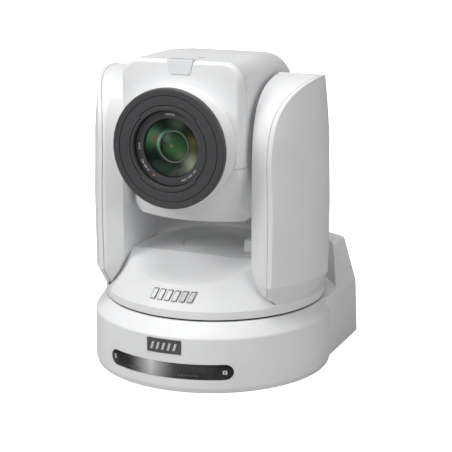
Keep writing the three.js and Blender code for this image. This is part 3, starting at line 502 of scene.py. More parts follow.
def streak_group() -> bpy.types.NodeTree:
    """Fine parallel streaks, or rings about a centre, as turning and brushing leave."""
    group, links, given, out = new_group(
        "tool_marks", {"Stretch": 40.0, "Fineness": 900.0}, ("Height", "Shade"),
    )
    place = links.node("ShaderNodeTexCoord").outputs["Object"]
    parts = links.node("ShaderNodeSeparateXYZ")
    links.join(place, parts.inputs[0])
    squeeze = links.node("ShaderNodeCombineXYZ")
    links.join(links.math("DIVIDE", parts.outputs["X"], given.outputs["Stretch"]), squeeze.inputs["X"])
    links.join(parts.outputs["Y"], squeeze.inputs["Y"])
    links.join(parts.outputs["Z"], squeeze.inputs["Z"])
    noise = links.node("ShaderNodeTexNoise", Detail=4.0, Roughness=0.65)
    links.join(squeeze.outputs[0], noise.inputs["Vector"])
    links.join(given.outputs["Fineness"], noise.inputs["Scale"])
    links.join(noise.outputs["Fac"], out.inputs["Height"])
    links.join(links.ramp(noise.outputs["Fac"], 0.35, 0.65), out.inputs["Shade"])
    return group


GRAIN = grain_group()
WEAR = wear_group()
STREAKS = streak_group()


def placed_group(links: Links, group: bpy.types.NodeTree, **values: float) -> bpy.types.Node:
    """Puts a shared effect into a material with its own values."""
    made = links.tree.nodes.new("ShaderNodeGroup")
    made.node_tree = group
    for key, value in values.items():
        made.inputs[key].default_value = value
    return made


def new_material(name: str) -> tuple[bpy.types.Material, Links, bpy.types.Node]:
    """A material with its Principled shader."""
    material = bpy.data.materials.new(name)
    material.use_nodes = True
    links = Links(material.node_tree)
    return material, links, material.node_tree.nodes["Principled BSDF"]


def add_bump(links: Links, shader: bpy.types.Node, height: bpy.types.NodeSocket, depth: float) -> None:
    """Feeds a height into the shader's normal, depth in millimetres."""
    bump = links.node("ShaderNodeBump", Strength=1.0)
    bump.inputs["Distance"].default_value = depth * MM
    links.join(height, bump.inputs["Height"])
    links.join(bump.outputs["Normal"], shader.inputs["Normal"])


def scaled(colour: Colour, factor: float) -> Colour:
    """A lighter or darker version of a colour."""
    return tuple(min(1.0, channel * factor) for channel in colour)


# ------------------------------------------------------------------ finishes
@dataclass(frozen=True)
class Moulded:
    """Moulded or painted plastic with a fine grain, soft tone drift and rubbed edges."""

    name: str
    colour: Colour
    roughness: float
    fineness: float = 1500.0
    depth: float = 0.02
    drift: float = 0.04
    wear: float = 0.3
    coat: float = 0.0

    def build(self) -> bpy.types.Material:
        """Makes the material."""
        material, links, shader = new_material(self.name)
        grain = placed_group(links, GRAIN, Fineness=self.fineness)
        wear = placed_group(links, WEAR)
        darker, lighter = scaled(self.colour, 1 - self.drift), scaled(self.colour, 1 + self.drift)
        tone = links.mix(grain.outputs["Tone"], darker, lighter)
        darkened_hollows = links.mix(
            links.math("MULTIPLY", wear.outputs["Corner"], self.wear * 0.35), tone,
            scaled(self.colour, 0.72),
        )
        rubbed = links.mix(
            links.math("MULTIPLY", wear.outputs["Edge"], self.wear * 0.5), darkened_hollows,
            scaled(self.colour, 1.12),
        )
        links.join(rubbed, shader.inputs["Base Color"])
        low = links.math("MULTIPLY", grain.outputs["Speck"], 0.05)
        spread = links.math("MULTIPLY", grain.outputs["Tone"], 0.06)
        rough = links.math("ADD", spread, self.roughness - 0.03)
        links.join(links.math("SUBTRACT", rough, low), shader.inputs["Roughness"])
        shader.inputs["Coat Weight"].default_value = self.coat
        shader.inputs["Coat Roughness"].default_value = 0.12
        add_bump(links, shader, grain.outputs["Height"], self.depth)
        return material


@dataclass(frozen=True)
class Metal:
    """Bare metal with tool marks."""

    name: str
    colour: Colour
    roughness: float
    stretch: float = 30.0
    fineness: float = 900.0
    depth: float = 0.01

    def build(self) -> bpy.types.Material:
        """Makes the material."""
        material, links, shader = new_material(self.name)
        marks = placed_group(links, STREAKS, Stretch=self.stretch, Fineness=self.fineness)
        grain = placed_group(links, GRAIN, Fineness=400.0)
        bright = links.mix(marks.outputs["Shade"], scaled(self.colour, 0.82), scaled(self.colour, 1.1))
        stained = links.mix(
            links.math("MULTIPLY", grain.outputs["Tone"], 0.25), bright, scaled(self.colour, 0.6),
        )
        links.join(stained, shader.inputs["Base Color"])
        shader.inputs["Metallic"].default_value = 1.0
        spread = links.math("MULTIPLY", marks.outputs["Shade"], 0.14)
        links.join(links.math("ADD", spread, self.roughness - 0.07), shader.inputs["Roughness"])
        add_bump(links, shader, marks.outputs["Height"], self.depth)
        return material


@dataclass(frozen=True)
class Ringed:
    """Turned dark alloy: fine rings about the lens axis."""

    name: str
    colour: Colour
    roughness: float
    pitch: float = 0.35

    def build(self) -> bpy.types.Material:
        """Makes the material."""
        material, links, shader = new_material(self.name)
        place = links.node("ShaderNodeTexCoord").outputs["Object"]
        parts = links.node("ShaderNodeSeparateXYZ")
        links.join(place, parts.inputs[0])
        up = links.math("SUBTRACT", parts.outputs["Z"], LENS_Z * MM)
        square = links.math(
            "ADD", links.math("MULTIPLY", parts.outputs["X"], parts.outputs["X"]),
            links.math("MULTIPLY", up, up),
        )
        radius = links.math("SQRT", square, 0.0)
        wave = links.math("SINE", links.math("MULTIPLY", radius, TURN / (self.pitch * MM)), 0.0)
        grain = placed_group(links, GRAIN, Fineness=1400.0)
        tone = links.mix(grain.outputs["Tone"], scaled(self.colour, 0.88), scaled(self.colour, 1.12))
        links.join(tone, shader.inputs["Base Color"])
        spread = links.math("MULTIPLY", grain.outputs["Height"], 0.1)
        links.join(links.math("ADD", spread, self.roughness - 0.05), shader.inputs["Roughness"])
        both = links.math("ADD", links.math("MULTIPLY", wave, 0.25), grain.outputs["Height"])
        add_bump(links, shader, both, 0.02)
        return material


@dataclass(frozen=True)
class Smoked:
    """Glossy smoked window, with a painted reflection that lightens it towards the middle."""

    name: str
    colour: Colour
    painted_reflection: Colour
    half: float
    shift: float = 12.0

    def build(self) -> bpy.types.Material:
        """Makes the material."""
        material, links, shader = new_material(self.name)
        place = links.node("ShaderNodeTexCoord").outputs["Object"]
        parts = links.node("ShaderNodeSeparateXYZ")
        links.join(place, parts.inputs[0])
        # painted reflection: the base colour lightens towards a band a little left of the middle, standing
        # in for a reflected light
        off = links.math("ABSOLUTE", links.math("ADD", parts.outputs["X"], self.shift * MM), 0.0)
        middle = links.ramp(off, self.half * MM, 0.0)
        soft = links.math("POWER", middle, 1.6)
        grain = placed_group(links, GRAIN, Fineness=300.0, Drift=30.0)
        shade = links.mix(soft, self.colour, self.painted_reflection)
        smeared = links.math("MULTIPLY", grain.outputs["Tone"], 0.15)
        smear = links.mix(smeared, shade, scaled(self.painted_reflection, 0.6))
        links.join(smear, shader.inputs["Base Color"])
        links.join(links.math("MULTIPLY", grain.outputs["Tone"], 0.09), shader.inputs["Roughness"])
        shader.inputs["Specular IOR Level"].default_value = 0.25
        add_bump(links, shader, grain.outputs["Tone"], 0.004)
        return material


@dataclass(frozen=True)
class Lobe:
    """One painted soft reflection on a lens element, by its place off the lens axis.

    A ring gives a lobe along a circle about the axis instead, on the side it is placed.
    """

    across: float
    up: float
    spread: float
    colour: Colour
    ring: float = 0.0


@dataclass(frozen=True)
class GlassWithPaintedReflections:
    """A lens element seen from in front: near-black glass with soft coloured reflections painted on as
    emission, so they glow.
    """

    name: str
    lobes: tuple[Lobe, ...]
    colour: Colour = (0.004, 0.006, 0.005)
    ring_width: float = 0.9

    def build(self) -> bpy.types.Material:
        """Makes the material."""
        material, links, shader = new_material(self.name)
        place = links.node("ShaderNodeTexCoord").outputs["Object"]
        parts = links.node("ShaderNodeSeparateXYZ")
        links.join(place, parts.inputs[0])
        grain = placed_group(links, GRAIN, Fineness=120.0, Drift=60.0)
        seen: object = (0.0, 0.0, 0.0)
        for lobe in self.lobes:
            across = links.math("SUBTRACT", parts.outputs["X"], lobe.across * MM)
            up = links.math("SUBTRACT", parts.outputs["Z"], (LENS_Z + lobe.up) * MM)
            far = self.falloff(links, across, up, lobe.spread)
            if lobe.ring:
                high = links.math("SUBTRACT", parts.outputs["Z"], LENS_Z * MM)
                reach = self.length(links, parts.outputs["X"], high)
                past = links.math("SUBTRACT", reach, lobe.ring * MM)
                off = links.math("DIVIDE", past, self.ring_width * MM)
                band = links.math("POWER", BELL, links.math("MULTIPLY", off, off))
                far = links.math("MULTIPLY", far, band)
            tone = links.math("MULTIPLY", grain.outputs["Tone"], 0.3)
            drifted = links.math("MULTIPLY", far, links.math("ADD", tone, 0.65))
            seen = links.mix(drifted, seen, lobe.colour)
        body = links.mix(grain.outputs["Tone"], self.colour, scaled(self.colour, 1.6))
        links.join(body, shader.inputs["Base Color"])
        # the painted reflections are given off as emission, whatever the lighting
        links.join(seen, shader.inputs["Emission Color"])
        shader.inputs["Emission Strength"].default_value = 1.0
        spread = links.math("MULTIPLY", grain.outputs["Tone"], 0.05)
        links.join(links.math("ADD", spread, 0.03), shader.inputs["Roughness"])
        shader.inputs["Specular IOR Level"].default_value = 0.08
        return material

    def length(self, links: Links, across: object, up: object) -> bpy.types.NodeSocket:
        """The length of a two-part offset."""
        squares = [links.math("MULTIPLY", part, part) for part in (across, up)]
        return links.math("SQRT", links.math("ADD", *squares), 0.0)

    def falloff(self, links: Links, across: object, up: object, spread: float) -> bpy.types.NodeSocket:
        """A bell that falls off over a spread in millimetres."""
        off = links.math("DIVIDE", self.length(links, across, up), spread * MM)
        return links.math("POWER", BELL, links.math("MULTIPLY", off, off))


@dataclass(frozen=True)
class ClearGlass:
    """The front element: clear, so that only its gloss shows."""

    name: str
    tint: Colour
    weight: float = 0.12

    def build(self) -> bpy.types.Material:
        """Makes the material."""
        material, links, shader = new_material(self.name)
        grain = placed_group(links, GRAIN, Fineness=90.0, Drift=25.0)
        tint = links.mix(grain.outputs["Tone"], self.tint, scaled(self.tint, 0.7))
        links.join(tint, shader.inputs["Base Color"])
        links.join(links.math("MULTIPLY", grain.outputs["Tone"], 0.03), shader.inputs["Roughness"])
        shader.inputs["Specular IOR Level"].default_value = 0.12
        smear = links.math("ADD", links.math("MULTIPLY", grain.outputs["Tone"], 0.02), self.weight)
        links.join(smear, shader.inputs["Alpha"])
        return material


@dataclass(frozen=True)
class Board:
    """Circuit board with tracks under its green mask."""

    name: str
    colour: Colour

    def build(self) -> bpy.types.Material:
        """Makes the material."""
        material, links, shader = new_material(self.name)
        place = links.node("ShaderNodeTexCoord").outputs["Object"]
        bricks = links.node("ShaderNodeTexBrick", Scale=55.0, Mortar_Size=0.06, Mortar_Smooth=0.2)
        links.join(place, bricks.inputs["Vector"])
        grain = placed_group(links, GRAIN, Fineness=700.0)
        mask = links.mix(bricks.outputs["Fac"], self.colour, scaled(self.colour, 2.2))
        tone = links.mix(links.math("MULTIPLY", grain.outputs["Speck"], 0.5), mask, (0.5, 0.52, 0.5))
        links.join(tone, shader.inputs["Base Color"])
        spread = links.math("MULTIPLY", grain.outputs["Tone"], 0.1)
        links.join(links.math("ADD", spread, 0.28), shader.inputs["Roughness"])
        add_bump(links, shader, bricks.outputs["Fac"], 0.05)
        return material


class Finish(Enum):
    """Every finish on the camera."""

    COVER = Moulded("cover_white", (0.80, 0.805, 0.812), 0.46, depth=0.012)
    COLLAR = Moulded("collar_white", (0.82, 0.825, 0.83), 0.4, fineness=2200.0, depth=0.006)
    RING = Ringed("lens_grey", (0.052, 0.053, 0.056), 0.42)
    NAME_RING = Ringed("name_ring_grey", (0.06, 0.061, 0.065), 0.5, pitch=0.22)
    BLACK = Moulded("trim_black", (0.012, 0.012, 0.013), 0.55, drift=0.15, wear=0.2)
    # near-black: the lens cell's and the seal's own black, and the painted shadow of the gap on the head's
    # top
    SHADOW = Moulded("recess_black", (0.004, 0.004, 0.0045), 0.8, drift=0.1, wear=0.0)
    GREY = Moulded("trim_grey", (0.075, 0.077, 0.082), 0.42, drift=0.08, wear=0.3)
    PANEL = Moulded("panel_grey", (0.16, 0.163, 0.17), 0.5, drift=0.06, wear=0.2, fineness=900.0)
    MARK = Moulded("mark_white", (0.62, 0.63, 0.64), 0.45, wear=0.1, depth=0.004)
    ORANGE = Moulded("mark_orange", (0.62, 0.16, 0.04), 0.4, wear=0.1, depth=0.004)
    LAMP = Moulded("lamp_milky", (0.80, 0.81, 0.82), 0.28, drift=0.02, wear=0.2, depth=0.004, coat=0.3)
    # the smoked window's second colour is its painted reflection
    WINDOW = Smoked("window_smoked", (0.002, 0.002, 0.0022), (0.62, 0.625, 0.63), 25.0)
    PLATE = Moulded("plate_silver", (0.60, 0.605, 0.61), 0.32, drift=0.05, wear=0.2, depth=0.004, coat=0.3)
    RUBBER = Moulded("foot_rubber", (0.02, 0.02, 0.02), 0.85, fineness=700.0, depth=0.04, drift=0.15)
    STEEL = Metal("zinc_steel", (0.52, 0.53, 0.54), 0.38)
    ALLOY = Metal("turned_alloy", (0.62, 0.63, 0.64), 0.28, stretch=4.0, fineness=1600.0)
    RIM = Moulded("element_rim_satin", (0.30, 0.32, 0.30), 0.4, fineness=3000.0, depth=0.002, wear=0.0)
    BRASS = Metal("cut_brass", (0.72, 0.52, 0.22), 0.3, stretch=6.0)
    NICKEL = Metal("bright_nickel", (0.74, 0.73, 0.70), 0.18, stretch=8.0, depth=0.004)
    BOARD = Board("board_green", (0.012, 0.09, 0.035))
    FRONT_GLASS = ClearGlass("front_glass", (0.02, 0.03, 0.025))
    # the lens elements' coloured reflections are painted, given off as emission
    BOWL = GlassWithPaintedReflections("bowl_painted_reflections", (
        Lobe(-20.0, 9.0, 8.5, (0.05, 0.20, 0.10)), Lobe(-15.5, 5.5, 5.0, (0.15, 0.09, 0.04)),
        Lobe(-14.0, 5.0, 9.0, (0.16, 0.48, 0.34), 15.0), Lobe(16.5, -13.0, 8.5, (0.30, 0.34, 0.24)),
        Lobe(17.5, 4.5, 6.5, (0.10, 0.09, 0.03)), Lobe(4.0, 20.0, 7.0, (0.05, 0.07, 0.05)),
        Lobe(-6.0, -19.0, 8.0, (0.02, 0.05, 0.03)),
    ))
    SECOND = GlassWithPaintedReflections("second_painted_reflections", (
        Lobe(1.0, -1.0, 9.5, (0.055, 0.16, 0.05)), Lobe(2.5, 1.5, 4.5, (0.02, 0.07, 0.02)),
        Lobe(-7.0, 7.0, 4.5, (0.10, 0.16, 0.12)), Lobe(-2.6, 0.6, 1.1, (0.36, 0.26, 0.06)),
        Lobe(6.0, -7.5, 4.5, (0.12, 0.15, 0.09)),
    ))
    GROUP_GLASS = GlassWithPaintedReflections("group_painted_reflection", (Lobe(0.0, 0.0, 9.0, (0.03, 0.06, 0.03)),))

    def __init__(self, recipe: object) -> None:
        """Keeps the recipe, to be made once."""
        self.recipe = recipe
        self.made: bpy.types.Material | None = None

    def material(self) -> bpy.types.Material:
        """The material, made at its first use."""
        if self.made is None:
            self.made = self.recipe.build()
        return self.made


# ------------------------------------------------------------------ base
def plan(half: float, corner_y: float, rear_y: float, round_r: float, inset: float = 0.0) -> list[Point]:
    """The connector box seen from above, with its bowed rear and rounded rear corners."""
    half, corner_y, rear_y = half - inset, corner_y - inset, rear_y - inset
    bow = rear_y - corner_y
    radius = (half * half + bow * bow) / (2 * bow)
    middle = rear_y - radius
    reach = math.atan2(half, corner_y - middle)
    steps = 36
    arc = []
    for step in range(1, steps):
        angle = reach * (1 - 2 * step / steps)
        arc.append((radius * math.sin(angle), middle + radius * math.cos(angle), 0))
    corners = [
        (5 - half, 0, 0), (half - 5, 0, 0), (half, 18, 12), (half, corner_y, round_r), *arc[1:-1],
        (-half, corner_y, round_r), (-half, 18, 12),
    ]
    return rounded(corners, 6)


@dataclass
class Base:
    """The fixed base: round cover, connector box, window, plate and feet; its floor plate stays a CAD
    solid.
    """

    shoulder_z: float = 50.0
    rim_r: float = TABLE_R + 0.6
    box_z: float = 6.0
    kink_z: float = 57.0
    box_top: float = 100.0
    box_corner_y: float = 97.0
    box_rear_y: float = 125.0
    cut_r: float = ARM_R + 2
    wall: float = 4.0
    recess: tuple[float, float, float, float] = (84.0, 90.0, 14.0, 48.0)
    window_half: float = 57.6
    window_h: float = 13.0
    window_z: float = 20.7

    def skewed(self, bm: bmesh.types.BMesh) -> bmesh.types.BMesh:
        """Moves the round cover forward below its shoulder."""
        for vert in bm.verts:
            share = min(1.0, max(0.0, (RIM_Z - vert.co.z) / (RIM_Z - self.shoulder_z)))
            vert.co.y -= BASE_LEAD * share
        return bm

    def drum(self) -> bmesh.types.BMesh:
        """The round cover, a ring with a shoulder and a flat rim."""
        corners = [
            (BASE_R - 3.5, 1.5, 0), (BASE_R - 1.2, 1.5, 1.0), (BASE_R, 6.0, 3.0),
            (BASE_R - 0.5, self.shoulder_z, 7.0), (self.rim_r, RIM_Z, 1.4),
            (60.0, RIM_Z, 0), (60.0, RIM_Z - 3, 0), (self.rim_r - 3, RIM_Z - 3, 0),
            (BASE_R - self.wall, self.shoulder_z - 1, 0),
        ]
        return self.skewed(turned(rounded(corners, 6), steps=160))

    def box(self) -> bmesh.types.BMesh:
        """The connector box, hollowed in front."""
        half = BASE_R - 1.5
        layers = [
            (self.box_z, 1.6, 1, 1), (self.box_z + 0.5, 0.6, 1, 1), (self.box_z + 1.8, 0, 1, 1),
            (self.kink_z - 2.5, 0, 0.982, 0.9955), (self.kink_z, 0, 0.9795, 0.9945),
            (self.kink_z + 2.5, 0, 0.9735, 0.9925),
            (self.box_top - 4, 0, 0.881, 0.9638), (self.box_top - 2, 0.6, 0.877, 0.962),
            (self.box_top - 0.6, 1.9, 0.875, 0.961), (self.box_top, 4.0, 0.874, 0.96),
        ]
        rings = []
        for z, inset, scale_x, scale_y in layers:
            outline = plan(half, self.box_corner_y, self.box_rear_y, 3.5, inset)
            rings.append([Vector((x * scale_x, y * scale_y, z)) for x, y in outline])
        floor, above = RIM_Z + 0.05, self.box_top + 20
        swept = turned([(0, floor), (self.cut_r, floor), (self.cut_r, above), (0, above)], steps=160)
        body = combined(lofted(rings), swept)
        inner_r, roof = BASE_R - self.wall, RIM_Z - 3
        inner = turned([(0, -5), (inner_r, -5), (inner_r, roof), (0, roof)], steps=96)
        bmesh.ops.translate(inner, verts=inner.verts, vec=(0, -BASE_LEAD, 0))
        front = prism([(-98, 60), (98, 60), (98, 86), (-98, 86)], Axis.Z, self.box_z + 2, roof)
        body = combined(combined(body, inner), front)
        return soften(
            body, 1.5, 4, 50,
            lambda p: abs(math.hypot(p.x, p.y) - self.cut_r) < 1.0 and p.z > self.box_top - 1,
        )

    def rear_recess(self) -> bmesh.types.BMesh:
        """The block cut out of the rear for the connector panel."""
        half_x, depth_y, low, high = self.recess
        corners = [(-half_x, low, 3), (half_x, low, 3), (half_x, high, 3), (-half_x, high, 3)]
        return prism(rounded(corners, 5), Axis.Y, depth_y, 140)

    def window_outline(self, grow: float) -> list[Point]:
        """The status window's round-ended outline."""
        half, tall = self.window_half + grow, self.window_h / 2 + grow
        low, high = self.window_z - tall, self.window_z + tall
        end = tall - 0.01
        corners = [(-half, low, end), (half, low, end), (half, high, end), (-half, high, end)]
        return rounded(corners, 12)

    def band(self, inner: float, outer: float) -> bmesh.types.BMesh:
        """A ring about the base's own centre, to cut front trim from."""
        ring = turned([(inner, 2), (outer, 2), (outer, 60), (inner, 60)], steps=240)
        bmesh.ops.translate(ring, verts=ring.verts, vec=(0, -BASE_LEAD, 0))
        return ring

    def wrapped(self, outline: Sequence[Point], low: float, high: float) -> bmesh.types.BMesh:
        """An outline pressed through a band of the round front, from low to high off its face."""
        band = self.band(BASE_R + low, BASE_R + high)
        return combined(band, prism(outline, Axis.Y, -140, -60), Cut.KEEP)

    def build_cover(self) -> None:
        """The white cover, with seats for the window and the plate."""
        shell = combined(combined(self.drum(), self.box(), Cut.JOIN), self.rear_recess())
        plate_seat = [(-16, 35.2), (16, 35.2), (16, 47.8), (-16, 47.8)]
        for deep, outline in ((2.4, self.window_outline(0.35)), (1.3, plate_seat)):
            shell = combined(shell, self.wrapped(outline, -deep, 6))
        placed(shell, "base_cover", "base", Finish.COVER.material(), ["base_shell"])

    def build_trim(self) -> None:
        """The smoked window with its marks, and the plate above it."""
        window = soften(self.wrapped(self.window_outline(0), -2, 0.1), 0.35, 2, 40)
        placed(window, "status_glass", "base", Finish.WINDOW.material(), ["status_window"])
        lamps = ((-52.5, 21.5, 2.3, 3.6), (51.5, 20.6, 3.4, 3.4))
        marks = [self.curved_patch(*lamp, 0.1, 0.18) for lamp in lamps]
        placed(joined(*marks), "status_lamps", "base", Finish.MARK.material())
        core = [self.curved_patch(x, z, 1.0, 1.4, 0.18, 0.24) for x, z, _, _ in lamps]
        placed(joined(*core), "status_lamp_cores", "base", Finish.BLACK.material())
        ticks = []
        for start, count in ((-36, 5), (14, 7)):
            for step in range(count):
                wide = 1.5 + 0.5 * (step % 2)
                ticks.append(self.curved_patch(start + step * 2.6, 17.4, wide, 1.3, 0.1, 0.15))
        placed(joined(*ticks), "status_ticks", "base", Finish.GREY.material())
        edge = [(-15.7, 35.5, 0.6), (15.7, 35.5, 0.6), (15.7, 47.5, 0.6), (-15.7, 47.5, 0.6)]
        plate = self.wrapped(rounded(edge, 3), -0.9, 0.15)
        placed(plate, "badge_plate", "base", Finish.GREY.material(), ["model_plate"])
        bars = [self.leaning_patch(-10.4 + step * 5.2, 41.5, 2.0, 6.4, 1.0) for step in range(5)]
        placed(joined(*bars), "badge_bars", "base", Finish.PLATE.material())

    def curved_patch(
        self, x: float, z: float, wide: float, tall: float, low: float, high: float,
    ) -> bmesh.types.BMesh:
        """A small raised rectangle on the round front."""
        u, v = wide / 2, tall / 2
        outline = [(x - u, z - v), (x + u, z - v), (x + u, z + v), (x - u, z + v)]
        return self.wrapped(outline, low - 0.3, high)

    def leaning_patch(
        self, x: float, z: float, wide: float, tall: float, lean: float,
    ) -> bmesh.types.BMesh:
        """A small raised slanted bar on the round front."""
        u, v = wide / 2, tall / 2
        outline = [
            (x - u - lean, z - v), (x + u - lean, z - v), (x + u + lean, z + v), (x - u + lean, z + v),
        ]
        return self.wrapped(outline, 0, 0.38)

    def build_feet(self) -> None:
        """Four rubber feet with a moulded dish."""
        for name in ("foot_front_left", "foot_front_right", "foot_rear_left", "foot_rear_right"):
            low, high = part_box(name)
            middle = (low + high) / 2 / MM
            radius = (high.x - low.x) / 2 / MM
            centre = (middle.x, middle.y - PAN_Y, 0)
            corners = [
                (0, 0.35, 0), (radius * 0.45, 0.35, 0.4), (radius * 0.55, 0, 0.3), (radius - 0.1, 0, 0.5),
                (radius, 1.5, 0.0), (0, 1.5, 0),
            ]
            foot = turned(rounded(corners, 4), centre=centre, steps=40, closed=False)
            placed(foot, f"{name}_pad", "base", Finish.RUBBER.material(), [name])

    def build(self) -> None:
        """Builds every piece of the base."""
        self.build_cover()
        self.build_trim()
        self.build_feet()


# ------------------------------------------------------------------ turntable
@dataclass
class Turntable:
    """The turning cover with its scooped front, the deck and the raised emblem."""

    skirt_z: float = 70.0
    deck_r: float = 77.0
    scoop_y: float = -43.0
    scoop_slope: float = 0.38
    wall_in: float = 14.0
    wall_h: float = 11.8
    cap_r: float = 28.2
    wall: float = 3.2
    bar_count: int = 6
    bar_pitch: float = 7.0
    bar_half: float = 1.9

    def wedge(self, lower: float) -> bmesh.types.BMesh:
        """What lies above the scooped facet, moved down by lower."""
        far, deck = -130.0, DECK_Z - lower
        drop = deck + (far - self.scoop_y) * self.scoop_slope
        outline = [(self.scoop_y, deck), (far, drop), (far, DECK_Z + 20), (self.scoop_y, DECK_Z + 20)]
        return prism(outline, Axis.X, -120, 120)

    def build_cover(self) -> None:
        """The cone and deck as one shell, with the scoop in front and the arms let in."""
        seat, roof = DECK_Z - 1.3, DECK_Z - self.wall
        corners = [
            (0, TABLE_Z, 0), (TABLE_R, TABLE_Z, 0.9), (TABLE_R - 0.4, self.skirt_z, 2.2),
            (self.deck_r, DECK_Z, 2.5), (self.cap_r + 1.0, DECK_Z, 0.5), (self.cap_r + 0.5, seat, 0),
            (0, seat, 0),
        ]
        cover = combined(turned(rounded(corners, 6), steps=160, closed=False), self.wedge(0))
        inner = turned(
            [(0, TABLE_Z - 1), (TABLE_R - 4.5, TABLE_Z - 1), (TABLE_R - 4.5, self.skirt_z),
             (self.deck_r - 3, roof), (0, roof)], steps=96, closed=False,
        )
        cover = combined(cover, combined(inner, self.wedge(self.wall)))
        for side in (-1, 1):
            cover = combined(cover, Arm(side).blank(-0.35))
        placed(
            cover, "turntable_cover", "turntable", Finish.COVER.material(),
            ["turntable_shell"], 14,
        )

    def build_rear_wall(self) -> None:
        """The coved wall round the rear of the deck, rising towards each arm."""
        face, steps = self.deck_r - self.wall_in, 72
        start = math.asin(3.5 / face)
        rings = []
        for step in range(steps + 1):
            angle = start + (math.pi - 2 * start) * step / steps
            side = smooth((abs(math.cos(angle)) - 0.86) / 0.13)
            top = DECK_Z + self.wall_h + 20 * side
            inner = face - 1.5 * side
            section = rounded([
                (face + 6, DECK_Z - 1, 0), (face + 6, top, 1.5), (inner, top, 1.8),
                (inner, DECK_Z - 0.1, 9 * (1 - 0.8 * side)), (inner - 12, DECK_Z - 0.1, 0),
                (inner - 12, DECK_Z - 1, 0),
            ], 6)
            rings.append([Vector((u * math.cos(angle), u * math.sin(angle), v)) for u, v in section])
        wall = lofted(rings)
        placed(wall, "deck_rear_wall", "turntable", Finish.COVER.material())

    def build_deck(self) -> None:
        """The round cap and the low block beside the right arm."""
        under, over = DECK_Z - 1.2, DECK_Z - 0.3
        corners = [(0, under, 0), (self.cap_r, under, 0), (self.cap_r, over, 0.5), (0, over, 0)]
        cap = turned(rounded(corners, 4), steps=96, closed=False)
        placed(cap, "deck_disc", "turntable", Finish.COVER.material(), ["deck_cap"])
        low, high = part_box("deck_block")
        corner_a = (low.x / MM, low.y / MM - PAN_Y, low.z / MM)
        corner_b = (high.x / MM, high.y / MM - PAN_Y, high.z / MM)
        shelf = block(corner_a, corner_b, 1.8)
        placed(
            shelf, "deck_shelf", "turntable", Finish.COVER.material(), ["deck_block"],
        )

    def build_emblem(self) -> None:
        """Bright slanted bars on the cone, each over a wider dark layer that is a painted shadow along its
        sides.
        """
        slope = (TABLE_R - 0.4 - self.deck_r) / (DECK_Z - self.skirt_z)
        low, high = self.skirt_z + 5.5, self.skirt_z + 16.5
        middle, tall, lean = (low + high) / 2, 3.6, 1.3

        def bars(under: float, over: float, grow: float) -> bmesh.types.BMesh:
            """The row of bars between two offsets from the cone."""
            base = [TABLE_R - 0.4 - (z - self.skirt_z) * slope for z in (low, high)]
            made = []
            for step in range(self.bar_count):
                x = (step - (self.bar_count - 1) / 2) * self.bar_pitch
                half, top = self.bar_half + grow, tall + grow
                outline = [
                    (x - half - lean, middle - top), (x + half - lean, middle - top),
                    (x + half + lean, middle + top), (x - half + lean, middle + top),
                ]
                band = turned(
                    [(base[0] + under, low), (base[0] + over, low), (base[1] + over, high),
                     (base[1] + under, high)], steps=240,
                )
                made.append(combined(band, prism(outline, Axis.Y, -130, -40), Cut.KEEP))
            return joined(*made)

        # the wider dark layer is a painted shadow along the bars' sides
        placed(bars(0.1, 0.9, 0.55), "emblem_edge_shadow", "turntable", Finish.GREY.material(),
               ["front_emblem"])
        placed(bars(0.6, 1.3, 0.0), "emblem_bars", "turntable", Finish.PLATE.material())

    def build(self) -> None:
        """Builds every visible piece of the turntable."""
        self.build_cover()
        self.build_rear_wall()
        self.build_deck()
        self.build_emblem()


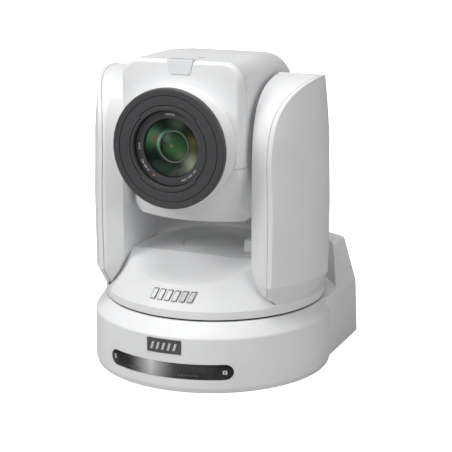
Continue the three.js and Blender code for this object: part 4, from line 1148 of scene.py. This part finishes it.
# ------------------------------------------------------------------ arms
@dataclass
class Arm:
    """One side arm: an inner housing and the bowed outer cover that closes it."""

    side: int
    front: float = -70.0
    rear: float = 2.0
    foot: float = 72.0
    chamfer: float = 90.0
    toe: float = 10.0
    heel: float = 26.0
    flare_top: float = 108.0
    flare_run: float = 19.0
    wall: float = 3.0
    nose_run: float = 13.8
    nose_depth: float = 6.6
    nose_fall: float = 74.0

    def radius(self, z: float) -> float:
        """The outer surface's radius about the pan axis at a height."""
        if z < self.chamfer:
            return ARM_R - 0.4 - 8.8 * (self.chamfer - z) / (self.chamfer - self.foot)
        if z < TILT.z:
            return ARM_R - 1.2 * smooth((z - 150) / (TILT.z - 150)) - 0.4 * smooth((150 - z) / 60)
        return ARM_R - 1.2 - 5.0 * ((z - TILT.z) / (ARM_TOP - TILT.z)) ** 1.4

    def levels(self) -> list[tuple[float, float]]:
        """Heights with the place of the front edge at each, from foot to tip."""
        rise = self.chamfer - self.foot
        rows = [(self.foot, self.front + self.toe)]
        for step in range(1, 5):
            share = step / 4
            rows.append((self.foot + rise * share, self.front + self.toe * (1 - share)))
        low = self.foot + rise
        for step in range(1, 9):
            rows.append((low + (ARM_TOP - self.nose_fall - low) * step / 8, self.front))
        curve = bezier(
            (self.front, ARM_TOP - self.nose_fall), (self.front, ARM_TOP - 24),
            (self.rear - 58, ARM_TOP - 1), (self.rear, ARM_TOP), 44,
        )
        rows += [(z, y) for y, z in curve[1:-1]]
        return rows

    def inner_x(self, z: float) -> float:
        """The inner face's place at the front edge, swung out near the foot."""
        if z >= self.flare_top:
            return ARM_IN
        share = (self.flare_top - z) / (self.flare_top - self.foot)
        return ARM_IN + 2.0 * share + (self.flare_run - 2.0) * share ** 2.0

    def ring(self, z: float, front: float, inner: float, outer: float, grow: float) -> list[Vector]:
        """One level: inner face, slanted nose, front, bowed outside, rear."""
        rear = self.rear + grow
        if z < self.foot + self.heel:
            drop = (self.foot + self.heel - z) / self.heel
            rear -= self.heel * (1 - math.sqrt(max(0.0, 1 - drop ** 2)))
        front = min(front - grow, rear - 1.2)
        front = max(front, -math.sqrt(outer ** 2 - (inner + 1.5) ** 2))
        start, end = math.asin(-front / outer), -math.asin(rear / outer)
        count = 20
        arc = []
        for step in range(count + 1):
            angle = start + (end - start) * step / count
            arc.append((outer * math.cos(angle), -outer * math.sin(angle)))
        run = min(self.nose_run, arc[0][0] - inner - 0.5)
        depth = min(self.nose_depth * run / self.nose_run, (rear - front) * 0.5)
        points = [(inner, rear), (inner, front + depth), (inner + run, front), *arc]
        return [Vector((self.side * x, y, z)) for x, y in points]

    def blank(self, inset: float) -> bmesh.types.BMesh:
        """The whole arm as one solid, its skin moved in by inset."""
        rings = []
        for z, front in self.levels():
            outer = self.radius(z) - inset
            rings.append(self.ring(z, front, self.inner_x(z) + min(inset, 0), outer, -min(inset, 0)))
        rings[0] = [Vector((p.x, p.y, p.z + min(inset, 0))) for p in rings[0]]
        return lofted(rings)

    def cover(self) -> bmesh.types.BMesh:
        """The outer cover, a bowed wall."""
        rings = []
        for z, front in self.levels():
            outer = self.radius(z)
            full = self.ring(z, front, self.inner_x(z), outer, 0)
            back = self.ring(z, front, self.inner_x(z), outer - self.wall, 0)
            rings.append(full[3:] + list(reversed(back[3:])))
        return lofted(rings)

    def build(self) -> None:
        """Builds the housing and the cover."""
        name = "right" if self.side > 0 else "left"
        housing = self.blank(self.wall + 0.45)
        edge = ARM_IN + self.nose_run + 1
        soften(
            housing, 2.4, 4, 22,
            lambda p: abs(p.x) < edge and p.y < self.rear - 3 and p.z > self.chamfer,
        )
        soften(housing, 1.2, 3, 40, lambda p: p.y > self.rear - 1)
        placed(
            housing, f"{name}_arm_inner", "turntable", Finish.COVER.material(),
            [f"{name}_arm_housing"], 22,
        )
        cover = self.cover()
        soften(cover, 2.2, 5, 40, lambda p: math.hypot(p.x, p.y) > self.radius(p.z) - 0.6)
        placed(
            cover, f"{name}_arm_outer", "turntable", Finish.COVER.material(),
            [f"{name}_arm_cover"], 20,
        )


# ------------------------------------------------------------------ head
@dataclass
class Head:
    """The tilting head's covers: front bezel, upper cover, lower cover and tally lamp."""

    front: float = -74.0
    rear: float = 55.5
    bottom: float = 141.0
    panel_half: float = 52.0
    flat_r: float = 50.2
    seam_y: float = -64.0
    seam_z: float = 191.0
    wall: float = 2.4
    points: int = 192
    swing: float = 83.5
    rear_round: float = 4.5
    gap: float = 0.24
    sheet: float = 2.5

    def panel(self, angle: float) -> Vector:
        """The flat front's edge in a direction about the lens."""
        direction = Vector((math.sin(angle), math.cos(angle)))
        if direction.y <= 0:
            return self.hit(direction, self.panel_half, LENS_Z - self.bottom - 4, 10.0)
        return self.hit(direction, self.panel_half, HEAD_TOP - 2.2 - LENS_Z, 13.0)

    def hit(self, direction: Vector, half: float, top: float, corner: float) -> Vector:
        """Where a ray from the lens axis meets a rounded rectangle."""
        reach = min(half / max(abs(direction.x), 1e-6), top / max(abs(direction.y), 1e-6))
        point = direction * reach
        inner = Vector((half - corner, top - corner))
        if abs(point.x) > inner.x and abs(point.y) > inner.y:
            along = abs(direction.x) * inner.x + abs(direction.y) * inner.y
            gap = inner.x ** 2 + inner.y ** 2 - corner ** 2
            point = direction * (along + math.sqrt(max(0.0, along ** 2 - gap)))
        return point

    def skin(
        self, angle: float, half: float, top: float, bottom: float, shoulder: float = 17.0,
    ) -> Vector:
        """The head's section in a direction about the lens."""
        direction = Vector((math.sin(angle), math.cos(angle)))
        if direction.y >= 0:
            return self.hit(direction, half, top - LENS_Z, shoulder)
        return self.hit(direction, half, LENS_Z - bottom, 10.0)

    def top_at(self, y: float) -> float:
        """The top's height at a place along the lens direction."""
        share = max(0.0, (y - 24) / (self.rear - 24))
        slow = 3.0 * smooth((y + 10) / 50)
        return HEAD_TOP - slow - 37 * (1 - math.sqrt(max(0.0, 1 - share ** 3)))

    def shoulder_at(self, y: float) -> float:
        """The rounding of the upper corners, wider towards the rear."""
        return 17 + 5 * smooth((y + 50) / (self.rear + 50))

    def bottom_at(self, y: float) -> float:
        """The underside's height at a place along the lens direction."""
        across = y - TILT.y
        round_z = TILT.z - math.sqrt(max(0.0, self.swing ** 2 - across ** 2))
        return max(self.bottom, round_z)

    def edge_depth(self, angle: float) -> float:
        """Where the skin starts in a direction, furthest back at the lower corners."""
        rise = math.cos(angle)
        if rise >= 0:
            return self.front + 8.5 - 4.5 * smooth(rise * 1.4)
        side = self.front + 8.5 + 16.5 * smooth((-rise - 0.15) / 0.6)
        across = self.skin(angle, HEAD_HALF, HEAD_TOP, self.bottom).x
        return min(side, self.front + 8.0 + 17.0 * (across / 53.0) ** 2)

    def meridian(self, angle: float) -> list[Vector]:
        """One direction's section through the lens axis, as (reach, depth), front to rear."""
        rise = math.cos(angle)
        reach = self.skin(angle, HEAD_HALF, HEAD_TOP, self.bottom).length
        edge = Vector((reach, self.edge_depth(angle)))
        inner = Vector((self.flat_r, self.front))
        crease = Vector((max(self.panel(angle).length, self.flat_r + 0.6), self.front))
        crease = crease.lerp(inner.lerp(edge, 0.62), smooth((-rise - 0.25) / 0.45))
        back = edge + Vector((0, 6))
        points = [Vector((self.flat_r - 2.0, self.front))]
        points += self.arched(inner, crease, edge, 1.3)
        points += self.arched(crease, edge, back, 2.4)
        start = points[-1].y
        for share in (0.3, 0.65, 1.0):
            points.append(self.section(angle, start + (-40 - start) * share))
        places = (-25, -10, 4, 12, 18, 24, 30, 35, 40, 44, 47.5, 50)
        points += [self.section(angle, y) for y in places]
        last = self.rear - self.rear_round
        for step in range(1, 6):
            turn = step / 5 * math.pi / 2
            inset = self.rear_round * (1 - math.cos(turn))
            top, bottom = self.top_at(last) - inset * 1.5, self.bottom_at(last) + inset * 1.5
            reach = self.skin(angle, HEAD_HALF - inset, top, bottom, self.shoulder_at(last)).length
            points.append(Vector((reach, last + self.rear_round * math.sin(turn))))
        return points

    def section(self, angle: float, y: float) -> Vector:
        """The skin's reach in a direction at a place along the head."""
        top, bottom, shoulder = self.top_at(y), self.bottom_at(y), self.shoulder_at(y)
        return Vector((self.skin(angle, HEAD_HALF, top, bottom, shoulder).length, y))

    def arched(self, before: Vector, corner: Vector, after: Vector, reach: float) -> list[Vector]:
        """Five points that round one corner of a meridian."""
        ahead = min(reach, (before - corner).length * 0.48)
        behind = min(reach, (after - corner).length * 0.48)
        start = corner + (before - corner).normalized() * ahead
        end = corner + (after - corner).normalized() * behind
        return [start.lerp(corner, s).lerp(corner.lerp(end, s), s) for s in (0, 0.25, 0.5, 0.75, 1)]

    def rings(self) -> list[list[Vector]]:
        """Every section from the lens opening out over the front and back to the rear."""
        rows = []
        for step in range(self.points):
            angle = TURN * step / self.points
            across, up = math.sin(angle), math.cos(angle)
            rows.append([Vector((p.x * across, p.y, LENS_Z + p.x * up)) for p in self.meridian(angle)])
        return [list(ring) for ring in zip(*rows)]

    def build_covers(self) -> None:
        """Cuts the skin at its seams and gives each cover a wall."""
        gap = self.gap

        def part(planes: Sequence[tuple[Sequence[float], Sequence[float]]]) -> bmesh.types.BMesh:
            """A walled cover left after trimming the skin at planes."""
            skin = lofted(self.rings(), start_cap=False)
            for point, outward in planes:
                trimmed(skin, point, outward)
            shell = walled(skin, self.wall)
            bmesh.ops.recalc_face_normals(shell, faces=shell.faces)
            return shell

        def drilled(shell: bmesh.types.BMesh) -> bmesh.types.BMesh:
            """The cover with the tilt shaft's holes."""
            hole = [(0, -80), (11, -80), (11, 80), (0, 80)]
            return combined(shell, turned(hole, Axis.X, (0, TILT.y, TILT.z), 48, closed=False))

        bezel = part([((0, 0, self.seam_z + gap), (0, 0, -1)), ((0, self.seam_y - gap, 0), (0, 1, 0))])
        bezel = combined(bezel, self.lamp_solid(0.35))
        soften(
            bezel, 0.3, 2, 50,
            lambda p: abs(p.y - self.seam_y) < 1 or abs(p.z - self.seam_z) < 0.5,
        )
        placed(bezel, "front_bezel", "head", Finish.COVER.material(), ["front_panel"])
        upper = part([((0, 0, self.seam_z + gap), (0, 0, -1)), ((0, self.seam_y + gap, 0), (0, -1, 0))])
        upper = combined(upper, self.lamp_solid(0.35))
        placed(
            drilled(upper), "head_upper_cover", "head", Finish.COVER.material(),
            ["head_upper_shell"],
        )
        lower = part([((0, 0, self.seam_z - gap), (0, 0, 1))])
        placed(
            drilled(lower), "head_lower_cover", "head", Finish.COVER.material(),
            ["head_lower_shell"],
        )

    def build_chassis(self) -> None:
        """The sheet frame inside the covers, its lower front corners cut back."""
        low, high = (corner / MM - Vector((0, PAN_Y, 0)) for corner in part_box("head_chassis"))
        sheet = self.sheet
        solid = block(low, (high.x, high.y, low.z + sheet))
        for corner, opposite in (
            (low, (low.x + sheet, high.y, high.z)), ((high.x - sheet, low.y, low.z), high),
            (low, (high.x, low.y + sheet, high.z)),
        ):
            solid = combined(solid, block(corner, opposite), Cut.JOIN)
        bore = [(0, -75), (40.3, -75), (40.3, -25), (0, -25)]
        solid = combined(solid, turned(bore, Axis.Y, (0, 0, LENS_Z), 64, closed=False))
        solid = combined(solid, block((-80, low.y - 5, low.z - 5), (80, low.y + 22, LENS_Z - 34)))
        placed(solid, "chassis_frame", "head", Finish.STEEL.material(), ["head_chassis"])

    def lamp_solid(self, grow: float) -> bmesh.types.BMesh:
        """The tally lamp's wedge, wrapped over the top edge."""
        top = HEAD_TOP + 0.5 + grow
        low = HEAD_TOP - 12 - grow
        narrow, wide = 9.2 + grow, 12 + grow
        corners = [(-narrow, low, 2.2), (narrow, low, 2.2), (wide, top, 0.4), (-wide, top, 0.4)]
        lamp = prism(rounded(corners, 5), Axis.Y, self.front - 0.5 - grow, self.front + 8.5 + grow)
        behind = block((-30, self.front + 3.0 + grow, 0), (30, self.front + 40, HEAD_TOP - 2 - grow))
        return combined(lamp, behind)

    def build(self) -> None:
        """Builds the covers and the lamp."""
        self.build_covers()
        lamp = self.lamp_solid(0)
        soften(lamp, 1.2, 4, 50, lambda p: p.y < self.front + 1 and p.z > HEAD_TOP - 1)
        soften(lamp, 0.5, 3, 50)
        placed(lamp, "tally_lens", "head", Finish.LAMP.material(), ["tally_lamp"])
        self.build_chassis()
        # a dark strip on the top behind the lamp: a painted shadow of the gap at the lamp's rear
        slot = block((6.5, -52.9, HEAD_TOP - 0.3), (13.5, -51.6, HEAD_TOP + 0.06), 0.1)
        placed(slot, "head_top_gap_shadow", "head", Finish.SHADOW.material())


# ------------------------------------------------------------------ lens
@dataclass
class Lens:
    """Collar, rings, name ring, baffles and glass about the lens axis."""

    collar_r: float = 51.0
    ring_r: float = 50.9
    front: float = -99.6
    groove_r: float = 44.7
    mouth_r: float = 36.9
    land_r: float = 34.6
    wall_r: float = 32.4
    glass_r: float = 24.9
    name_y: float = -94.1

    def about(self, corners: Sequence[tuple[float, float, float]], steps: int = 144) -> bmesh.types.BMesh:
        """A turned ring about the lens axis from rounded corners."""
        return turned(rounded(corners, 5), Axis.Y, (0, 0, LENS_Z), steps)

    def build_rings(self) -> None:
        """The collar and the dark rings in front of it."""
        collar = self.about([
            (46, -74.2, 0), (self.collar_r, -74.2, 0), (self.collar_r, -94.0, 0.8), (46, -94.0, 0),
        ])
        placed(collar, "collar_sleeve", "head", Finish.COLLAR.material(), ["lens_collar"])
        g, m, f = self.groove_r, self.mouth_r, self.front
        outer = self.about([
            (42, -94.2, 0), (self.ring_r, -94.2, 0.3), (self.ring_r, f + 0.9, 0.6),
            (self.ring_r - 1.1, f, 0.4), (g + 0.3, f, 0.15), (g + 0.3, f + 1.2, 0),
            (g - 0.3, f + 1.2, 0), (g - 0.3, f + 0.1, 0.15), (m, f + 0.1, 0.25), (m, f + 3.2, 0),
            (42, f + 3.2, 0),
        ])
        placed(outer, "lens_bezel", "head", Finish.RING.material(), ["lens_ring"])
        land = self.about([
            (self.wall_r, f + 0.3, 0.5), (self.land_r, f + 0.1, 0.25), (self.land_r, f + 4.8, 0),
            (self.wall_r, f + 4.8, 0),
        ])
        near, far = (self.land_r - 0.1, m - 0.6), (self.land_r + 0.6, m + 0.1)
        quarters = ((45, near), (225, near), (-45, far), (135, far))
        sectors = [self.sector(start, start + 90, *reach) for start, reach in quarters]
        placed(joined(land, *sectors), "mouth_lands", "head", Finish.RING.material())
        name = self.about([
            (self.glass_r + 0.3, self.name_y, 0.2), (self.wall_r - 0.6, self.name_y, 0.1),
            (self.wall_r - 0.6, self.name_y + 1, 0), (self.glass_r + 0.3, self.name_y + 1, 0),
        ])
        placed(name, "name_ring", "head", Finish.NAME_RING.material())

    def sector(self, start: float, end: float, inner: float, outer: float) -> bmesh.types.BMesh:
        """Part of a ring at the mouth, between two angles in degrees."""
        steps = 30
        angles = [math.radians(start + (end - start) * step / steps) for step in range(steps + 1)]
        outline = [(math.cos(a) * outer, LENS_Z + math.sin(a) * outer) for a in angles]
        outline += [(math.cos(a) * inner, LENS_Z + math.sin(a) * inner) for a in reversed(angles)]
        return soften(prism(outline, Axis.Y, self.front + 0.1, self.front + 3.0), 0.2, 2, 50)

    def build_marks(self) -> None:
        """Small white ticks in three groups and one orange dot on the name ring."""
        middle_r, plane = (self.glass_r + self.wall_r) / 2, self.name_y
        groups = ((90, 6, 2.9, 1.5), (180, 4, 3.0, 1.4), (214, 9, 2.4, 1.2), (307, 10, 3.3, 1.4))
        ticks = []
        for centre, count, pitch, tall in groups:
            for step in range(count):
                if count > 6 and step in (3, 7):
                    continue
                angle = centre + (step - (count - 1) / 2) * pitch
                tick = block((-0.38, plane - 0.12, -tall / 2), (0.38, plane + 0.2, tall / 2))
                spin = Matrix.Rotation(-math.radians(angle - 90), 4, "Y")
                place = Matrix.Translation((0, 0, LENS_Z)) @ spin @ Matrix.Translation((0, 0, middle_r))
                bmesh.ops.transform(tick, matrix=place, verts=tick.verts)
                ticks.append(tick)
        placed(joined(*ticks), "name_ticks", "head", Finish.MARK.material())
        turn = math.radians(237)
        centre = (middle_r * math.cos(turn), 0, LENS_Z + middle_r * math.sin(turn))
        face, back = plane - 0.15, plane + 0.2
        corners = [(0, face, 0), (0.95, face, 0.1), (0.95, back, 0), (0, back, 0)]
        dot = turned(rounded(corners, 3), Axis.Y, centre, 24, closed=False)
        placed(dot, "name_dot", "head", Finish.ORANGE.material())

    def dome(
        self, radius: float, front: float, bulge: float, back: float, sink: float,
    ) -> bmesh.types.BMesh:
        """A lens element: two curved faces and a ground edge."""
        steps = 14
        shares = [step / steps for step in range(steps + 1)]
        profile = [(radius * share, front - bulge * (1 - share ** 2)) for share in shares]
        profile += [(radius * share, back + sink * (1 - share ** 2)) for share in reversed(shares)]
        return turned(profile, Axis.Y, (0, 0, LENS_Z), 96, closed=False)

    def build_glass(self) -> None:
        """The front element, the dark cell behind it and the deeper elements with painted reflections."""
        glass = self.dome(self.glass_r, self.name_y + 0.6, 1.6, self.name_y + 2.4, -1.0)
        placed(glass, "front_element", "head", Finish.FRONT_GLASS.material(), ["front_lens"])
        cell = self.about([
            (self.glass_r - 0.1, self.name_y + 1.2, 0), (self.wall_r, self.name_y + 1.2, 0),
            (self.wall_r, self.front + 4.0, 0), (33.8, self.front + 4.0, 0), (33.8, -30, 0), (9.0, -30, 0),
            (9.0, -31, 0), (10.8, -80.2, 0), (13.2, -80.2, 0), (13.2, -84.0, 0), (15.2, -84.0, 0),
            (24.4, -88.4, 0), (24.6, self.name_y + 3.0, 0),
        ])
        placed(cell, "lens_cell", "head", Finish.SHADOW.material(), ["lens_barrel"])
        bowl = turned(
            [(14.0, -86.2), (17.0, -87.0), (21.0, -88.6), (24.5, -90.8), (24.5, -90.0), (14.0, -85.4)],
            Axis.Y, (0, 0, LENS_Z), 96,
        )
        placed(bowl, "bowl_element", "head", Finish.BOWL.material())
        rim = self.about([(12.9, -87.6, 0.15), (13.6, -87.8, 0.2), (14.1, -86.0, 0), (12.9, -86.0, 0)])
        placed(rim, "element_rim", "head", Finish.RIM.material())
        second = self.dome(13.0, -84.6, 1.8, -83.4, -0.5)
        placed(second, "second_element", "head", Finish.SECOND.material())

    def build_groups(self) -> None:
        """The sliding lens cells, which keep their CAD solids, with glass set in each."""
        for node, body in (("zoom_carriage", "zoom_group"), ("focus_carriage", "focus_group")):
            low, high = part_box(node)
            middle = (low.y + high.y) / 2 / MM - PAN_Y
            element = self.dome(16.5, middle - 2.2, 0.6, middle + 2.2, 0.6)
            placed(element, f"{body}_element", body, Finish.GROUP_GLASS.material())

    def build(self) -> None:
        """Builds every piece of the lens."""
        self.build_rings()
        self.build_marks()
        self.build_glass()
        self.build_groups()


# ------------------------------------------------------------------ kept CAD nodes
KEPT = {
    Finish.STEEL: (
        "base_plate", "pan_bearing", "turntable_plate", "left_upright", "right_upright",
        "left_tilt_bearing", "right_tilt_bearing",
    ),
    Finish.ALLOY: (
        "tripod_bush", "pan_gear", "pan_hub", "tilt_gear", "left_tilt_shaft", "right_tilt_shaft",
        "sdi_post", "sync_post",
    ),
    Finish.BRASS: ("pan_pinion", "tilt_pinion"),
    Finish.NICKEL: ("lan_jack", "control_jack", "hdmi_socket"),
    Finish.BOARD: ("main_board", "power_board", "image_board"),
    Finish.BLACK: (
        "pan_motor", "tilt_motor", "fan_frame", "fan_rotor", "filter_wheel", "zoom_carriage",
        "focus_carriage", "power_inlet", "mode_dial",
    ),
    Finish.SHADOW: ("pan_seal",),
    Finish.PANEL: ("connector_panel",),
    Finish.GREY: ("reset_button",),
    Finish.COLLAR: ("output_switch",),
}


def dress_kept_nodes() -> None:
    """Gives every CAD solid that stays its finish."""
    for finish, names in KEPT.items():
        for name in names:
            mesh = frame["nodes"][name].data
            mesh.materials.clear()
            mesh.materials.append(finish.material())
            LOG.info("kept node %s: %s", name, finish.name)


# ------------------------------------------------------------------ stage
@dataclass
class Studio:
    """Camera, floor and lights."""

    place: tuple[float, float, float] = (488.1, -1128.2, 426.3)
    back: tuple[float, float, float] = (0.3784, -0.8937, 0.2411)
    lens: float = 111.3
    aim: tuple[float, float, float] = (0, 0, 0.14)
    ambient: float = 0.13

    def build_camera(self) -> None:
        """The camera, at a three-quarter view from the right and above."""
        data = bpy.data.cameras.new("camera")
        data.lens = self.lens
        data.sensor_width = 36.0
        data.clip_end = 20.0
        camera = bpy.data.objects.new("camera", data)
        bpy.context.scene.collection.objects.link(camera)
        camera.location = (Vector(self.place) + Vector((0, PAN_Y, 0))) * MM
        camera.rotation_euler = (-Vector(self.back)).to_track_quat("-Z", "Y").to_euler()
        bpy.context.scene.camera = camera

    def build_floor(self) -> None:
        """A wide pale floor."""
        bm = bmesh.new()
        bmesh.ops.create_grid(bm, x_segments=1, y_segments=1, size=6.0)
        floor = as_object(bm, "floor")
        material, links, shader = new_material("pale_floor")
        shader.inputs["Base Color"].default_value = (0.42, 0.42, 0.42, 1)
        shader.inputs["Roughness"].default_value = 0.9
        shader.inputs["Emission Color"].default_value = (1, 1, 1, 1)
        seen = links.node("ShaderNodeLightPath").outputs["Is Camera Ray"]
        links.join(links.math("MULTIPLY", seen, 1.4), shader.inputs["Emission Strength"])
        floor.data.materials.append(material)

    def light(self, name: str, place: Sequence[float], size: float, power: float) -> None:
        """A square soft light aimed at the middle of the camera."""
        data = bpy.data.lights.new(name, "AREA")
        data.shape = "SQUARE"
        data.size = size
        data.energy = power
        lamp = bpy.data.objects.new(name, data)
        bpy.context.scene.collection.objects.link(lamp)
        lamp.location = place
        aim = Vector(self.aim) - Vector(place)
        lamp.rotation_euler = aim.to_track_quat("-Z", "Y").to_euler()

    def build(self) -> None:
        """Builds the stage and the lights."""
        self.build_camera()
        self.build_floor()
        self.light("key", (-1.3, -1.5, 1.6), 1.1, 29.0)
        self.light("front", (0.3, -1.9, 1.2), 0.9, 7.0)
        self.light("top", (-0.1, -0.35, 1.9), 0.8, 18.0)
        self.light("side", (1.9, -0.5, 0.75), 1.0, 10.0)
        world = bpy.data.worlds.new("studio")
        world.use_nodes = True
        background = world.node_tree.nodes["Background"]
        background.inputs["Color"].default_value = (1, 1, 1, 1)
        background.inputs["Strength"].default_value = self.ambient
        bpy.context.scene.world = world
        bpy.context.scene.view_settings.view_transform = "Standard"


def main() -> None:
    """Builds the stage, then each sub-assembly from the base up."""
    logging.basicConfig(level=logging.INFO, format="%(name)s %(message)s")
    Studio().build()
    Base().build()
    Turntable().build()
    for side in (-1, 1):
        Arm(side).build()
    Head().build()
    Lens().build()
    dress_kept_nodes()


if __name__ == "__main__":
    main()
